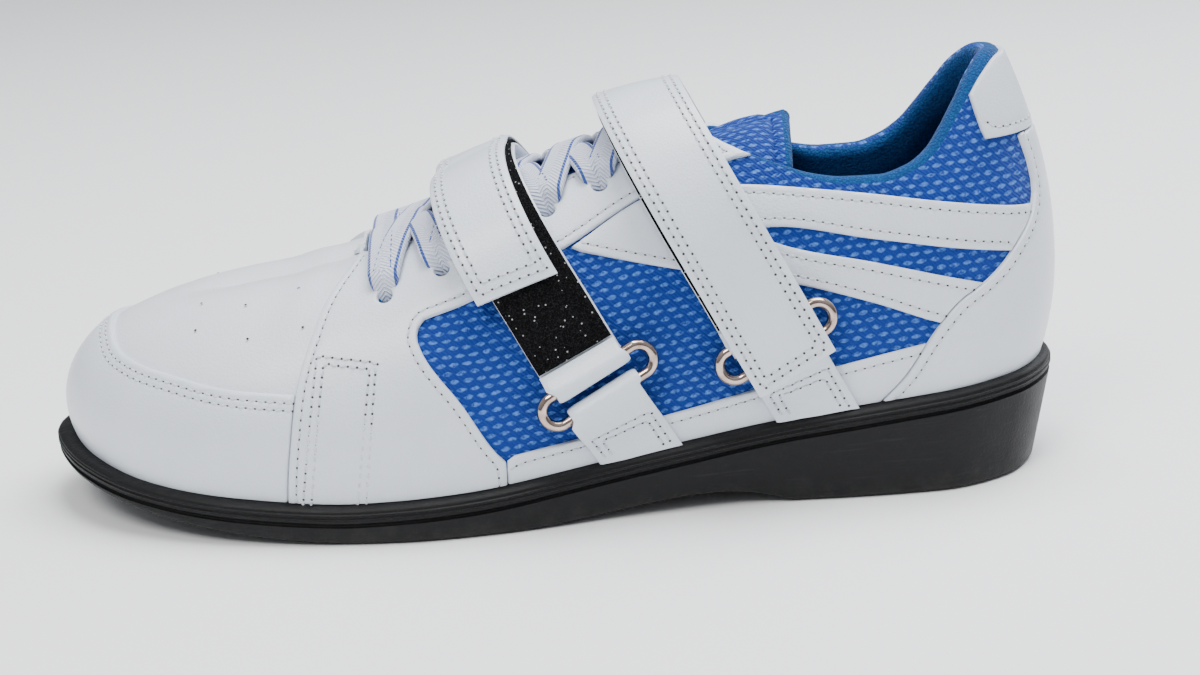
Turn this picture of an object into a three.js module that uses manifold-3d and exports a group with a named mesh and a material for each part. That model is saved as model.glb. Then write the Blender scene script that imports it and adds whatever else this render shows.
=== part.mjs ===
// Weightlifting shoe, left foot, men's size EU 42.
// Frame: toe at -X, heel at +X, outer side at -Y, inner side at +Y, +Z up, floor at z = 0.
// Millimetres. The origin is on the floor at the middle of the outsole's length and width.
import * as THREE from 'three';
import { mergeVertices } from 'three/addons/utils/BufferGeometryUtils.js';
import Module from 'manifold-3d';

const wasm = await Module();
wasm.setup();

// Driving sizes of the outsole
const soleLength = 288.5;
const ballWidth = 105;
const heelWidth = 73;
const toeSpring = 14.5;
const toeSpringReach = 95;
const toeThickness = 7;
const ballThickness = 10.5;
const heelStack = 31.5;
const heelBreastAt = 66;
const archRelief = 4.2;
const archReach = 78;
const edgeBevel = 1.4;
const heelUndercut = 4.5;
const heelUndercutFrom = 95;
const toeLip = 6;
const lipWidth = 4.2;
const lipRise = 1.2;
const sideGroove = 0.9;
const sideGrooveDrop = 3.4;
const sideGrooveHeight = 1.3;
const treadDepth = 1.2;
const treadGroove = 2.4;
const treadPitch = 15;
const treadMargin = 9;

// Driving sizes of the upper, heights above the floor
const toeRidge = 58.5;
const instepRidge = 101.5;
const ankleRidge = 147;
const ridgeFront = -86;
const ridgeBack = 100;
const toeBulge = 2;
const sideBulge = 1.5;
const heelBulge = 5;
const wall = 2.2;
const collarPad = 4;
const collarPadDepth = 26;
const collarPadStart = 24;
const collarPadFull = 42;
const collarFront = 40;
const collarLow = 89;
const heelTop = 119.5;
const throatTop = 97.5;
const throatFront = -50;
const throatBack = 60;
const throatFrontWidth = 30;
const throatBackWidth = 20;
const throatCorner = 6;

// Driving sizes of the tongue and the insole
const tongueThickness = 4;
const tongueFront = -62;
const tongueBack = 69;
const tongueFrontWidth = 44;
const tongueBackWidth = 56;
const tongueCorner = 9;
const tongueHang = 24;
const insoleThickness = 4;
const insoleEdge = 0.5;
const clearance = 0.3;

// Driving sizes of the panels, straps, rings and lace
const panelThickness = 1.2;
const eyeletRadius = 2.2;
const eyeletReach = 8;
const strapWidth = 24;
const strapThickness = 1.2;
const tapeThickness = 0.8;
const tapePast = 0.5;
const ringLength = 37;
const ringWidth = 11.5;
const ringWire = 3;
const tabWidth = 21.5;
const foldLength = 9;
const laceWidth = 7;
const laceThickness = 1.4;
const laceFromEyelet = 3.6;
const laceSlack = 1.2;
const layerGap = 0.45;

// Fineness of the surfaces
const stations = 28;
const levels = 9;
const ringSize = stations * 2;
const farAway = 200;
const farBelow = 12;
const laceSteps = 7;
const turnStep = Math.PI / 28;

// Outline of the outsole from toe to heel: share of the length, and each side as a share of half
// the width that applies there, which is the ball's in front and the heel's at the back
const outlineRows = [
  { along: 0, outer: -0.1, inner: 0.1 },
  { along: 0.01, outer: 0.15, inner: 0.37 },
  { along: 0.04, outer: 0.42, inner: 0.66 },
  { along: 0.1, outer: 0.69, inner: 0.86 },
  { along: 0.2, outer: 0.9, inner: 0.99 },
  { along: 0.3, outer: 0.985, inner: 0.985 },
  { along: 0.36, outer: 1, inner: 0.93 },
  { along: 0.44, outer: 0.966, inner: 0.81 },
  { along: 0.54, outer: 0.94, inner: 0.75 },
  { along: 0.65, outer: 0.985, inner: 0.83 },
  { along: 0.77, outer: 1, inner: 0.95 },
  { along: 0.87, outer: 0.955, inner: 0.95 },
  { along: 0.95, outer: 0.72, inner: 0.735 },
  { along: 0.99, outer: 0.345, inner: 0.36 },
  { along: 1, outer: 0, inner: 0 },
];

// Thickness of the outsole's edge: 0 is the ball's thickness and 1 the heel's
const thicknessRows = [
  { along: 0.3, share: 0 },
  { along: 0.42, share: 0.07 },
  { along: 0.52, share: 0.22 },
  { along: 0.62, share: 0.41 },
  { along: 0.72, share: 0.6 },
  { along: 0.85, share: 0.81 },
  { along: 0.95, share: 0.94 },
  { along: 1, share: 1 },
];

// Ridge of the upper from its front to its back. Rise: 0 toe box, 1 instep, 2 ankle. Shift moves
// the ridge to the inner side, in shares of half the ball width. Fullness squares the section.
const ridgeRows = [
  { along: 0, rise: 0, shift: 0.11, fullness: 2.7 },
  { along: 0.17, rise: 0.18, shift: 0.11, fullness: 2.4 },
  { along: 0.31, rise: 0.385, shift: 0.08, fullness: 2.15 },
  { along: 0.42, rise: 0.6, shift: 0.06, fullness: 2.2 },
  { along: 0.53, rise: 0.775, shift: 0.04, fullness: 2.4 },
  { along: 0.64, rise: 0.92, shift: 0.02, fullness: 2.55 },
  { along: 0.75, rise: 1, shift: 0.01, fullness: 2.6 },
  { along: 0.84, rise: 1.12, shift: 0, fullness: 2.5 },
  { along: 0.92, rise: 1.5, shift: 0, fullness: 2.3 },
  { along: 1, rise: 2, shift: 0, fullness: 2.1 },
];

// Rim of the collar from the throat to the heel. Height over the collar's lowest point: front is
// a share of the rise to the throat, back a share of the rise to the heel.
const collarRows = [
  { along: 0, front: 1.6, back: 0 },
  { along: 0.11, front: 1, back: 0 },
  { along: 0.18, front: 0.67, back: 0 },
  { along: 0.25, front: 0.36, back: 0 },
  { along: 0.32, front: 0.13, back: 0 },
  { along: 0.41, front: 0, back: 0 },
  { along: 0.5, front: 0, back: 0 },
  { along: 0.58, front: 0, back: 0.08 },
  { along: 0.645, front: 0, back: 0.23 },
  { along: 0.69, front: 0, back: 0.42 },
  { along: 0.73, front: 0, back: 0.62 },
  { along: 0.785, front: 0, back: 0.865 },
  { along: 0.84, front: 0, back: 1 },
  { along: 1, front: 0, back: 1.06 },
];

// Straps. Ring: where the ring's middle is, as shares of the length and of the instep's height.
// Lean: degrees from upright towards the toe. Lift: slack over the laces. The free end lies
// aside of the base by drift, and stops at a height given as a share of the instep's.
const strapRows = {
  front: { ringAlong: 0.541, ringUp: 0.383, lean: 29, lift: 7.5, drift: -5.2, endUp: 0.64 },
  rear: { ringAlong: 0.712, ringUp: 0.46, lean: 27.5, lift: 9.5, drift: 1.2, endUp: 0.315 },
};

// Eyelets of the outer row from the toe, as shares of the length and of half the ball width.
// The inner row is its mirror image in the ridge.
const eyeletRows = [
  { along: 0.349, outer: 0.56 },
  { along: 0.404, outer: 0.53 },
  { along: 0.454, outer: 0.47 },
  { along: 0.506, outer: 0.4 },
  { along: 0.557, outer: 0.345 },
  { along: 0.606, outer: 0.31 },
];

// Panels seen from the side, as shares of the length and of the instep's height
const toeGuardEdge = [
  { along: -0.1, up: -0.1 },
  { along: -0.1, up: 1.2 },
  { along: 0.066, up: 1.2 },
  { along: 0.067, up: 0.51 },
  { along: 0.082, up: 0.468 },
  { along: 0.098, up: 0.453 },
  { along: 0.146, up: 0.43 },
  { along: 0.193, up: 0.408 },
  { along: 0.27, up: 0.393 },
  { along: 0.28, up: -0.1 },
];
const sidePanelEdge = [
  { along: 0.34, up: 1.2 },
  { along: 0.332, up: 0.7 },
  { along: 0.294, up: 0.605 },
  { along: 0.278, up: 0.52 },
  { along: 0.266, up: 0.432 },
  { along: 0.256, up: 0.276 },
  { along: 0.249, up: 0.111 },
  { along: 0.248, up: -0.1 },
  { along: 0.454, up: -0.1 },
  { along: 0.454, up: 0.192 },
  { along: 0.449, up: 0.206 },
  { along: 0.417, up: 0.355 },
  { along: 0.379, up: 0.512 },
  { along: 0.378, up: 0.542 },
  { along: 0.384, up: 0.567 },
  { along: 0.433, up: 0.612 },
  { along: 0.472, up: 0.665 },
  { along: 0.472, up: 1.2 },
];
const eyestayEdge = [
  { along: 0.473, up: 1.2 },
  { along: 0.473, up: 0.666 },
  { along: 0.522, up: 0.728 },
  { along: 0.599, up: 0.843 },
  { along: 0.653, up: 0.892 },
  { along: 0.68, up: 0.916 },
  { along: 0.706, up: 0.929 },
  { along: 0.713, up: 0.96 },
  { along: 0.68, up: 1.2 },
];
const quarterEdge = [
  { along: 0.524, up: 0.722 },
  { along: 0.6, up: 0.838 },
  { along: 0.639, up: 0.859 },
  { along: 0.69, up: 0.858 },
  { along: 0.777, up: 0.835 },
  { along: 0.874, up: 0.798 },
  { along: 0.967, up: 0.757 },
  { along: 1.02, up: 0.74 },
  { along: 1.02, up: 0.61 },
  { along: 0.931, up: 0.653 },
  { along: 0.812, up: 0.707 },
  { along: 0.709, up: 0.75 },
  { along: 0.697, up: 0.741 },
  { along: 0.715, up: 0.713 },
  { along: 0.812, up: 0.646 },
  { along: 0.9, up: 0.583 },
  { along: 0.94, up: 0.55 },
  { along: 0.92, up: 0.45 },
  { along: 0.871, up: 0.476 },
  { along: 0.812, up: 0.536 },
  { along: 0.74, up: 0.597 },
  { along: 0.63, up: 0.656 },
];
const randEdge = [
  { along: 0.455, up: -0.1 },
  { along: 0.455, up: 0.203 },
  { along: 0.554, up: 0.243 },
  { along: 0.674, up: 0.306 },
  { along: 0.775, up: 0.37 },
  { along: 0.857, up: 0.419 },
  { along: 0.89, up: 0.437 },
  { along: 0.89, up: -0.1 },
];
const counterEdge = [
  { along: 1.1, up: -0.1 },
  { along: 1.1, up: 0.942 },
  { along: 0.956, up: 0.942 },
  { along: 0.965, up: 0.867 },
  { along: 0.969, up: 0.788 },
  { along: 0.963, up: 0.729 },
  { along: 0.947, up: 0.665 },
  { along: 0.931, up: 0.613 },
  { along: 0.911, up: 0.569 },
  { along: 0.89, up: 0.532 },
  { along: 0.866, up: 0.454 },
  { along: 0.838, up: 0.33 },
  { along: 0.813, up: 0.254 },
  { along: 0.802, up: 0.217 },
  { along: 0.8, up: -0.1 },
];
const heelTabEdge = [
  { along: 1.1, up: 0.946 },
  { along: 1.1, up: 1.3 },
  { along: 0.888, up: 1.3 },
  { along: 0.912, up: 1.02 },
  { along: 0.92, up: 0.946 },
];

const mix = (from, to, share) => from + (to - from) * share;
const clampShare = (value) => Math.min(1, Math.max(0, value));
const ease = (from, to, value) => {
  const share = clampShare((value - from) / (to - from));
  return share * share * (3 - 2 * share);
};

// Reads one column of a table at a share along it, by a curve that never overshoots its rows
function follow(rows, column, at) {
  const last = rows.length - 1;
  const place = Math.min(rows[last].along, Math.max(rows[0].along, at));
  let row = 0;
  while (row < last - 1 && place > rows[row + 1].along) row += 1;
  const slope = (index) => {
    const step = rows[index + 1].along - rows[index].along;
    return (rows[index + 1][column] - rows[index][column]) / step;
  };
  const tangent = (index) => {
    if (index === 0) return slope(0);
    if (index === last) return slope(last - 1);
    const before = slope(index - 1);
    const after = slope(index);
    return before * after <= 0 ? 0 : (2 * before * after) / (before + after);
  };
  const span = rows[row + 1].along - rows[row].along;
  const t = (place - rows[row].along) / span;
  const rise = rows[row + 1][column] - rows[row][column];
  const startPull = tangent(row) * span;
  const endPull = tangent(row + 1) * span;
  return rows[row][column] + startPull * t * (1 - t) * (1 - t) + rise * t * t * (3 - 2 * t)
    - endPull * t * t * (1 - t);
}

// The outline is read over the angle of a half circle, so that toe and heel come out round
const angleOf = (along) => Math.acos(1 - 2 * clampShare(along)) / Math.PI;
const roundRows = outlineRows.map((row) => ({ ...row, along: angleOf(row.along) }));

const alongOf = (x) => x / soleLength + 0.5;

function widthThere(along) {
  return mix(ballWidth, heelWidth, ease(0.4, 0.75, along)) / 2;
}

function outlinePoint(along, side) {
  const share = follow(roundRows, side < 0 ? 'outer' : 'inner', angleOf(along));
  return new THREE.Vector2((along - 0.5) * soleLength, side * share * widthThere(along));
}

// Stations run from toe to heel on the outer side and back on the inner side
function stationOf(index) {
  return index <= stations ? index : ringSize - index;
}

function shareOf(index) {
  return (1 - Math.cos((Math.PI * stationOf(index)) / stations)) / 2;
}

const outline = Array.from({ length: ringSize }, (unused, index) =>
  outlinePoint(shareOf(index), index <= stations ? -1 : 1));

const outwards = outline.map((point, index) => {
  const before = outline[(index + ringSize - 1) % ringSize];
  const after = outline[(index + 1) % ringSize];
  const tangent = after.clone().sub(before).normalize();
  return new THREE.Vector2(tangent.y, -tangent.x);
});

function insetRing(inset, heightAt, tuck = 0) {
  return outline.map((point, index) => {
    const depth = typeof inset === 'function' ? inset(alongOf(point.x)) : inset;
    const place = point.clone().addScaledVector(outwards[index], -depth);
    place.x -= tuck * heelUndercut * ease(heelUndercutFrom, soleLength / 2, place.x);
    return new THREE.Vector3(place.x, place.y, heightAt(place.x));
  });
}

const lipAt = (along) => mix(toeLip, lipWidth, ease(0, 0.15, along));

function bottomAt(x) {
  const fromToe = x + soleLength / 2;
  const spring = toeSpring * Math.pow(clampShare(1 - fromToe / toeSpringReach), 1.9);
  const intoArch = clampShare((heelBreastAt - x) / archReach);
  const arch = archRelief * Math.pow(Math.sin(Math.PI * Math.pow(intoArch, 0.6)), 2);
  return spring + arch;
}

function featherAt(x) {
  const along = clampShare(alongOf(x));
  const fromToe = (x + soleLength / 2) / toeSpringReach;
  const spring = toeSpring * Math.pow(clampShare(1 - fromToe), 1.9);
  const front = mix(toeThickness, ballThickness, ease(0, 0.3, along));
  const back = mix(ballThickness, heelStack, follow(thicknessRows, 'share', along));
  return spring + (along < 0.3 ? front : back);
}

// A closed body from rings stacked bottom to top, its two ends closed by strips across the ring
function stack(rings) {
  const points = rings.flat();
  const triangles = [];
  const quad = (a, b, c, d) => triangles.push(a, b, c, a, c, d);
  for (let ring = 0; ring < rings.length - 1; ring += 1) {
    for (let index = 0; index < ringSize; index += 1) {
      const next = (index + 1) % ringSize;
      const low = ring * ringSize;
      const high = low + ringSize;
      quad(low + index, low + next, high + next, high + index);
    }
  }
  const top = (rings.length - 1) * ringSize;
  for (let station = 0; station < stations; station += 1) {
    const outerNow = station;
    const outerNext = station + 1;
    const innerNow = (ringSize - station) % ringSize;
    const innerNext = ringSize - station - 1;
    quad(innerNow, innerNext, outerNext, outerNow);
    quad(top + outerNow, top + outerNext, top + innerNext, top + innerNow);
  }
  return bodyOf(points, triangles);
}

// The same from points and triangles whose facing isn't known yet
function closedBody(points, triangles) {
  const volume = triangles.reduce((all, unused, index) => {
    if (index % 3 !== 0) return all;
    const [a, b, c] = [0, 1, 2].map((add) => points[triangles[index + add]]);
    return all + a.dot(b.clone().cross(c));
  }, 0);
  return bodyOf(points, volume < 0 ? triangles.reverse() : triangles);
}

function bodyOf(points, triangles) {
  const geometry = new THREE.BufferGeometry();
  const flat = points.flatMap((point) => [point.x, point.y, point.z]);
  geometry.setAttribute('position', new THREE.Float32BufferAttribute(flat, 3));
  geometry.setIndex(triangles);
  return manifoldOf(geometry);
}

function manifoldOf(geometry) {
  geometry.deleteAttribute('normal');
  geometry.deleteAttribute('uv');
  const merged = mergeVertices(geometry, 1e-4);
  const kept = [];
  const index = merged.index.array;
  for (let at = 0; at < index.length; at += 3) {
    const [a, b, c] = [index[at], index[at + 1], index[at + 2]];
    if (a !== b && b !== c && a !== c) kept.push(a, b, c);
  }
  return new wasm.Manifold(new wasm.Mesh({
    numProp: 3,
    vertProperties: new Float32Array(merged.attributes.position.array),
    triVerts: new Uint32Array(kept),
  }));
}

// Prisms that cut and bound pieces: seen from the side, and seen from above
function sidePrism(outlineXZ, fromY, toY) {
  const shape = new THREE.Shape(outlineXZ.map(([x, z]) => new THREE.Vector2(x, z)));
  const geometry = new THREE.ExtrudeGeometry(shape, { depth: toY - fromY, bevelEnabled: false });
  geometry.rotateX(Math.PI / 2);
  geometry.translate(0, toY, 0);
  return manifoldOf(geometry);
}

function planPrism(shape, fromZ, toZ) {
  const geometry = new THREE.ExtrudeGeometry(shape, {
    depth: toZ - fromZ, bevelEnabled: false, curveSegments: 3,
  });
  geometry.translate(0, 0, fromZ);
  return manifoldOf(geometry);
}

// The form of the last: one rib from each point of the feather line up to the ridge
const featherRing = insetRing(lipAt, (x) => featherAt(x) + clearance);
const featherFront = featherRing[0].x;
const featherBack = featherRing[stations].x;

function ridgePoint(share) {
  const rise = follow(ridgeRows, 'rise', share);
  const lower = mix(toeRidge, instepRidge, Math.min(1, rise));
  const upper = (ankleRidge - instepRidge) * Math.max(0, rise - 1);
  const shift = follow(ridgeRows, 'shift', share) * (ballWidth / 2);
  return new THREE.Vector3(mix(ridgeFront, ridgeBack, share), shift, lower + upper);
}

function bulgeAt(share) {
  const front = mix(toeBulge, sideBulge, ease(0, 0.2, share));
  return mix(front, heelBulge, ease(0.8, 1, share));
}

const bulgeShape = (height) => 6.75 * height * (1 - height) * (1 - height);

const ribGrid = featherRing.map((foot, index) => {
  const share = (foot.x - featherFront) / (featherBack - featherFront);
  const top = ridgePoint(share);
  const power = 2 / follow(ridgeRows, 'fullness', share);
  const rib = [];
  for (let level = 0; level <= levels; level += 1) {
    const turn = (Math.PI / 2) * (level / levels);
    const inward = level === levels ? 1 : 1 - Math.pow(Math.cos(turn), power);
    const height = level === levels ? 1 : Math.pow(Math.sin(turn), power);
    const bulge = bulgeAt(share) * bulgeShape(height);
    rib.push(new THREE.Vector3(
      mix(foot.x, top.x, inward) + outwards[index].x * bulge,
      mix(foot.y, top.y, inward) + outwards[index].y * bulge,
      mix(foot.z, top.z, height),
    ));
  }
  return rib;
});

const ribNormals = ribGrid.map((rib, index) => rib.map((point, level) => {
  const before = ribGrid[(index + ringSize - 1) % ringSize];
  const after = ribGrid[(index + 1) % ringSize];
  const along = after[level].clone().sub(before[level]);
  const upward = rib[Math.min(levels, level + 1)].clone().sub(rib[Math.max(0, level - 1)]);
  const opposite = ribGrid[(ringSize - index) % ringSize];
  if (level === levels) {
    const across = rib[levels - 1].clone().sub(opposite[levels - 1]);
    const ahead = index % stations === 0 ? across.clone().set(1, 0, 0) : along;
    const up = ahead.cross(across);
    return up.multiplyScalar(Math.sign(up.z) || 1).normalize();
  }
  return along.cross(upward).normalize();
}));

// The same form grown outwards by a distance, which may vary with the place, and lengthened down
function form(grow, lengthen = 0) {
  const distance = typeof grow === 'function' ? grow : () => grow;
  const rings = [];
  for (let level = 0; level <= levels; level += 1) {
    rings.push(ribGrid.map((rib, index) => {
      const point = rib[level];
      return point.clone().addScaledVector(ribNormals[index][level], distance(point));
    }));
  }
  rings[0].forEach((point, index) => {
    point.z = featherRing[index].z;
  });
  if (lengthen > 0) {
    rings.unshift(rings[0].map((point) => point.clone().setZ(point.z - lengthen)));
  }
  return stack(rings);
}

function collarAt(x) {
  const along = clampShare((x - collarFront) / (soleLength / 2 - collarFront));
  const front = follow(collarRows, 'front', along) * (throatTop - collarLow);
  const back = follow(collarRows, 'back', along) * (heelTop - collarLow);
  return collarLow + front + back;
}

// Inside of the wall: the padding grows from its lower edge to the rim
function wallThickness(point) {
  const below = (collarAt(point.x) - point.z) / collarPadDepth;
  const behind = ease(collarFront + collarPadStart, collarFront + collarPadFull, point.x);
  const padded = behind * (1 - ease(0.25, 1, below));
  return wall + collarPad * padded;
}

function roundedQuad(corners, radius) {
  const shape = new THREE.Shape();
  corners.forEach((corner, index) => {
    const before = corners[(index + corners.length - 1) % corners.length];
    const after = corners[(index + 1) % corners.length];
    const start = corner.clone().add(before.clone().sub(corner).setLength(radius));
    const end = corner.clone().add(after.clone().sub(corner).setLength(radius));
    if (index === 0) shape.moveTo(start.x, start.y);
    else shape.lineTo(start.x, start.y);
    shape.quadraticCurveTo(corner.x, corner.y, end.x, end.y);
  });
  shape.closePath();
  return shape;
}

function ridgeShiftAt(x) {
  return ridgePoint(clampShare((x - ridgeFront) / (ridgeBack - ridgeFront))).y;
}

function throatShape(front, back, frontWidth, backWidth, corner) {
  const frontShift = ridgeShiftAt(front);
  const backShift = ridgeShiftAt(back);
  return roundedQuad([
    new THREE.Vector2(front, frontShift - frontWidth / 2),
    new THREE.Vector2(back, backShift - backWidth / 2),
    new THREE.Vector2(back, backShift + backWidth / 2),
    new THREE.Vector2(front, frontShift + frontWidth / 2),
  ], corner);
}

function collarPrism() {
  const steps = 18;
  const points = [];
  for (let step = 0; step <= steps; step += 1) {
    const x = mix(collarFront, soleLength / 2, step / steps);
    points.push([x, collarAt(x)]);
  }
  points.push([farAway, heelTop], [farAway, farAway], [collarFront, farAway]);
  return sidePrism(points, -farAway, farAway);
}

function makeSole() {
  const wallTop = (x) => featherAt(x) - lipRise;
  const body = stack([
    insetRing(edgeBevel, bottomAt, 1),
    insetRing(0, (x) => bottomAt(x) + edgeBevel, 1),
    insetRing(0, (x) => wallTop(x) - sideGrooveDrop - sideGrooveHeight),
    insetRing(sideGroove, (x) => wallTop(x) - sideGrooveDrop - sideGrooveHeight / 2),
    insetRing(0, (x) => wallTop(x) - sideGrooveDrop),
    insetRing(0, wallTop),
    insetRing(lipAt, featherAt),
  ]);
  return body.subtract(treadGrooves());
}

// Grooves across the tread, in front of the arch and under the heel, short of the edge
function treadGrooves() {
  const places = [];
  const frontEnd = heelBreastAt - archReach;
  for (let x = frontEnd - treadPitch; x > treadPitch * 1.5 - soleLength / 2; x -= treadPitch) {
    places.push(x);
  }
  for (let x = heelBreastAt + treadPitch; x < soleLength / 2 - treadPitch; x += treadPitch) {
    places.push(x);
  }
  return places.map((x) => {
    const outer = outlinePoint(alongOf(x), -1).y + treadMargin;
    const inner = outlinePoint(alongOf(x), 1).y - treadMargin;
    const slope = (bottomAt(x + 1) - bottomAt(x - 1)) / 2;
    const geometry = new THREE.BoxGeometry(treadGroove, inner - outer, treadDepth * 2);
    geometry.rotateY(-Math.atan(slope));
    geometry.translate(x, (inner + outer) / 2, bottomAt(x));
    return manifoldOf(geometry);
  }).reduce((all, one) => all.add(one));
}

// Everything that is cut out of the wall and of the panels on it
function makeOpenings() {
  const throat = planPrism(
    throatShape(throatFront, throatBack, throatFrontWidth, throatBackWidth, throatCorner),
    toeRidge - tongueHang,
    farAway,
  );
  return eyelets.reduce((all, { place, normal }) => {
    const hole = new THREE.CylinderGeometry(eyeletRadius, eyeletRadius, eyeletReach * 2, 10);
    const turn = new THREE.Quaternion().setFromUnitVectors(new THREE.Vector3(0, 1, 0), normal);
    hole.applyQuaternion(turn);
    hole.translate(place.x, place.y, place.z);
    return all.add(manifoldOf(hole));
  }, throat.add(collarPrism()));
}

function makeUpper() {
  return form(0)
    .subtract(form((point) => -wallThickness(point), insoleThickness))
    .subtract(openings);
}

// Panels lie on the wall as one more layer, each cut out of it by its outline from the side
const sizePanel = (edge) => edge.map(({ along, up }) => [
  (along - 0.5) * soleLength, up * instepRidge,
]);

function grownOutline(points, distance) {
  const turns = points.map(([x, z], index) => {
    const [nextX, nextZ] = points[(index + 1) % points.length];
    return x * nextZ - nextX * z;
  });
  const sign = Math.sign(turns.reduce((all, one) => all + one, 0));
  return points.map((point, index) => {
    const before = points[(index + points.length - 1) % points.length];
    const after = points[(index + 1) % points.length];
    const into = new THREE.Vector2(point[0] - before[0], point[1] - before[1]).normalize();
    const away = new THREE.Vector2(after[0] - point[0], after[1] - point[1]).normalize();
    const middle = new THREE.Vector2(into.y + away.y, -into.x - away.x).normalize();
    const reach = distance / Math.max(0.4, middle.dot(new THREE.Vector2(into.y, -into.x)));
    return [point[0] + sign * middle.x * reach, point[1] + sign * middle.y * reach];
  });
}

function makePanel(edge, side, neighbours = []) {
  const [fromY, toY] = side === 0 ? [-farAway, farAway] : [Math.min(0, side * farAway),
    Math.max(0, side * farAway)];
  const clear = neighbours.reduce((all, neighbour) =>
    all.subtract(sidePrism(grownOutline(sizePanel(neighbour), clearance), -farAway, farAway)),
  sidePrism(sizePanel(edge), fromY, toY));
  return panelLayer.intersect(clear);
}

// Distance from a point inside the form to its surface
function reachSurface(origin, direction) {
  const ray = new THREE.Ray(origin, direction);
  const hit = new THREE.Vector3();
  let reach = 0;
  formTriangles.forEach(([a, b, c]) => {
    if (ray.intersectTriangle(a, b, c, false, hit)) reach = Math.max(reach, hit.distanceTo(origin));
  });
  return reach;
}

function trianglesOf(body) {
  const { vertProperties, triVerts } = body.getMesh();
  const corner = (index) => new THREE.Vector3().fromArray(vertProperties, triVerts[index] * 3);
  return Array.from({ length: triVerts.length / 3 }, (unused, index) =>
    [corner(index * 3), corner(index * 3 + 1), corner(index * 3 + 2)]);
}

// A point on the form above a place in plan, and the way out from there
function topPoint(x, y) {
  const drop = (px, py) => {
    const origin = new THREE.Vector3(px, py, toeRidge - tongueHang);
    return origin.clone().setZ(origin.z + reachSurface(origin, new THREE.Vector3(0, 0, 1)));
  };
  const place = drop(x, y);
  const ahead = drop(x + 2, y).sub(place);
  const across = drop(x, y + 2).sub(place);
  return { place, normal: ahead.cross(across).normalize() };
}

function eyeletAt(row, side) {
  const x = (row.along - 0.5) * soleLength;
  const outerY = -row.outer * (ballWidth / 2);
  return topPoint(x, side < 0 ? outerY : 2 * ridgeShiftAt(x) - outerY);
}

// Closes a strip from its steps, each with points across it and the way out at each point
function strip(steps, thickness) {
  const across = steps[0].points.length;
  const points = [];
  steps.forEach((step) => {
    [0.5, -0.5].forEach((part) => step.points.forEach((point, index) => {
      points.push(point.clone().addScaledVector(step.normals[index], part * thickness));
    }));
  });
  const triangles = [];
  const quad = (a, b, c, d) => triangles.push(a, b, c, a, c, d);
  const at = (step, face, index) => (step * 2 + face) * across + index;
  for (let step = 0; step < steps.length - 1; step += 1) {
    for (let index = 0; index < across - 1; index += 1) {
      quad(at(step, 0, index), at(step, 0, index + 1), at(step + 1, 0, index + 1),
        at(step + 1, 0, index));
      quad(at(step, 1, index + 1), at(step, 1, index), at(step + 1, 1, index),
        at(step + 1, 1, index + 1));
    }
    quad(at(step, 1, 0), at(step, 0, 0), at(step + 1, 0, 0), at(step + 1, 1, 0));
    quad(at(step, 0, across - 1), at(step, 1, across - 1), at(step + 1, 1, across - 1),
      at(step + 1, 0, across - 1));
  }
  const last = steps.length - 1;
  for (let index = 0; index < across - 1; index += 1) {
    quad(at(0, 0, index + 1), at(0, 0, index), at(0, 1, index), at(0, 1, index + 1));
    quad(at(last, 0, index), at(last, 0, index + 1), at(last, 1, index + 1), at(last, 1, index));
  }
  return closedBody(points, triangles);
}

function makeTongue() {
  const over = (point) => -wallThickness(point) - clearance;
  const under = (point) => over(point) - tongueThickness;
  const plan = planPrism(
    throatShape(tongueFront, tongueBack, tongueFrontWidth, tongueBackWidth, tongueCorner),
    0,
    farAway,
  );
  const side = sidePrism([
    [-farAway, toeRidge - tongueHang / 2],
    [tongueFront, toeRidge - tongueHang / 2],
    [tongueBack, instepRidge - tongueHang],
    [farAway, instepRidge - tongueHang],
    [farAway, farAway],
    [-farAway, farAway],
  ], -farAway, farAway);
  return form(over).subtract(form(under, insoleThickness)).intersect(plan).intersect(side);
}

function makeInsole() {
  const inset = (along) => lipAt(along) + wall + clearance + insoleEdge;
  return stack([
    insetRing(inset, (x) => featherAt(x) + clearance),
    insetRing(inset, (x) => featherAt(x) + clearance + insoleThickness),
  ]);
}

// Heights over the wall of what is stacked on it
const strapInner = panelThickness + 2 * clearance;
const baseMiddle = strapInner + strapThickness / 2;
const tapeMiddle = strapInner + strapThickness + layerGap + tapeThickness / 2;
const topMiddle = tapeMiddle + tapeThickness / 2 + layerGap + strapThickness / 2;
const foldMiddle = baseMiddle + strapThickness + layerGap;
const wrapRadius = ringWire / 2 + clearance + strapThickness / 2;
const overBar = baseMiddle + 2 * wrapRadius;
const overFold = overBar + strapThickness + layerGap;

// A strap lies in planes that lean towards the toe. In such a plane a point is given by its
// turn about the middle of the foot, from the outer side at half a circle to the inner side at 0.
function strapPlane(row) {
  const lean = THREE.MathUtils.degToRad(row.lean);
  const along = new THREE.Vector3(-Math.sin(lean), 0, Math.cos(lean));
  const across = new THREE.Vector3(Math.cos(lean), 0, Math.sin(lean));
  const ring = new THREE.Vector3((row.ringAlong - 0.5) * soleLength, 0, row.ringUp * instepRidge);
  const middle = ring.clone().addScaledVector(along, -ringWidth / 2);
  const surface = (turn, shift) => {
    const out = along.clone().multiplyScalar(Math.sin(turn)).setY(Math.cos(turn));
    const origin = middle.clone().addScaledVector(across, shift);
    return origin.addScaledVector(out, reachSurface(origin, out));
  };
  const facing = (turn, shift) => {
    const ahead = surface(turn - 0.04, shift).sub(surface(turn + 0.04, shift));
    return across.clone().cross(ahead).normalize();
  };
  return { along, across, surface, facing, ring };
}

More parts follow.
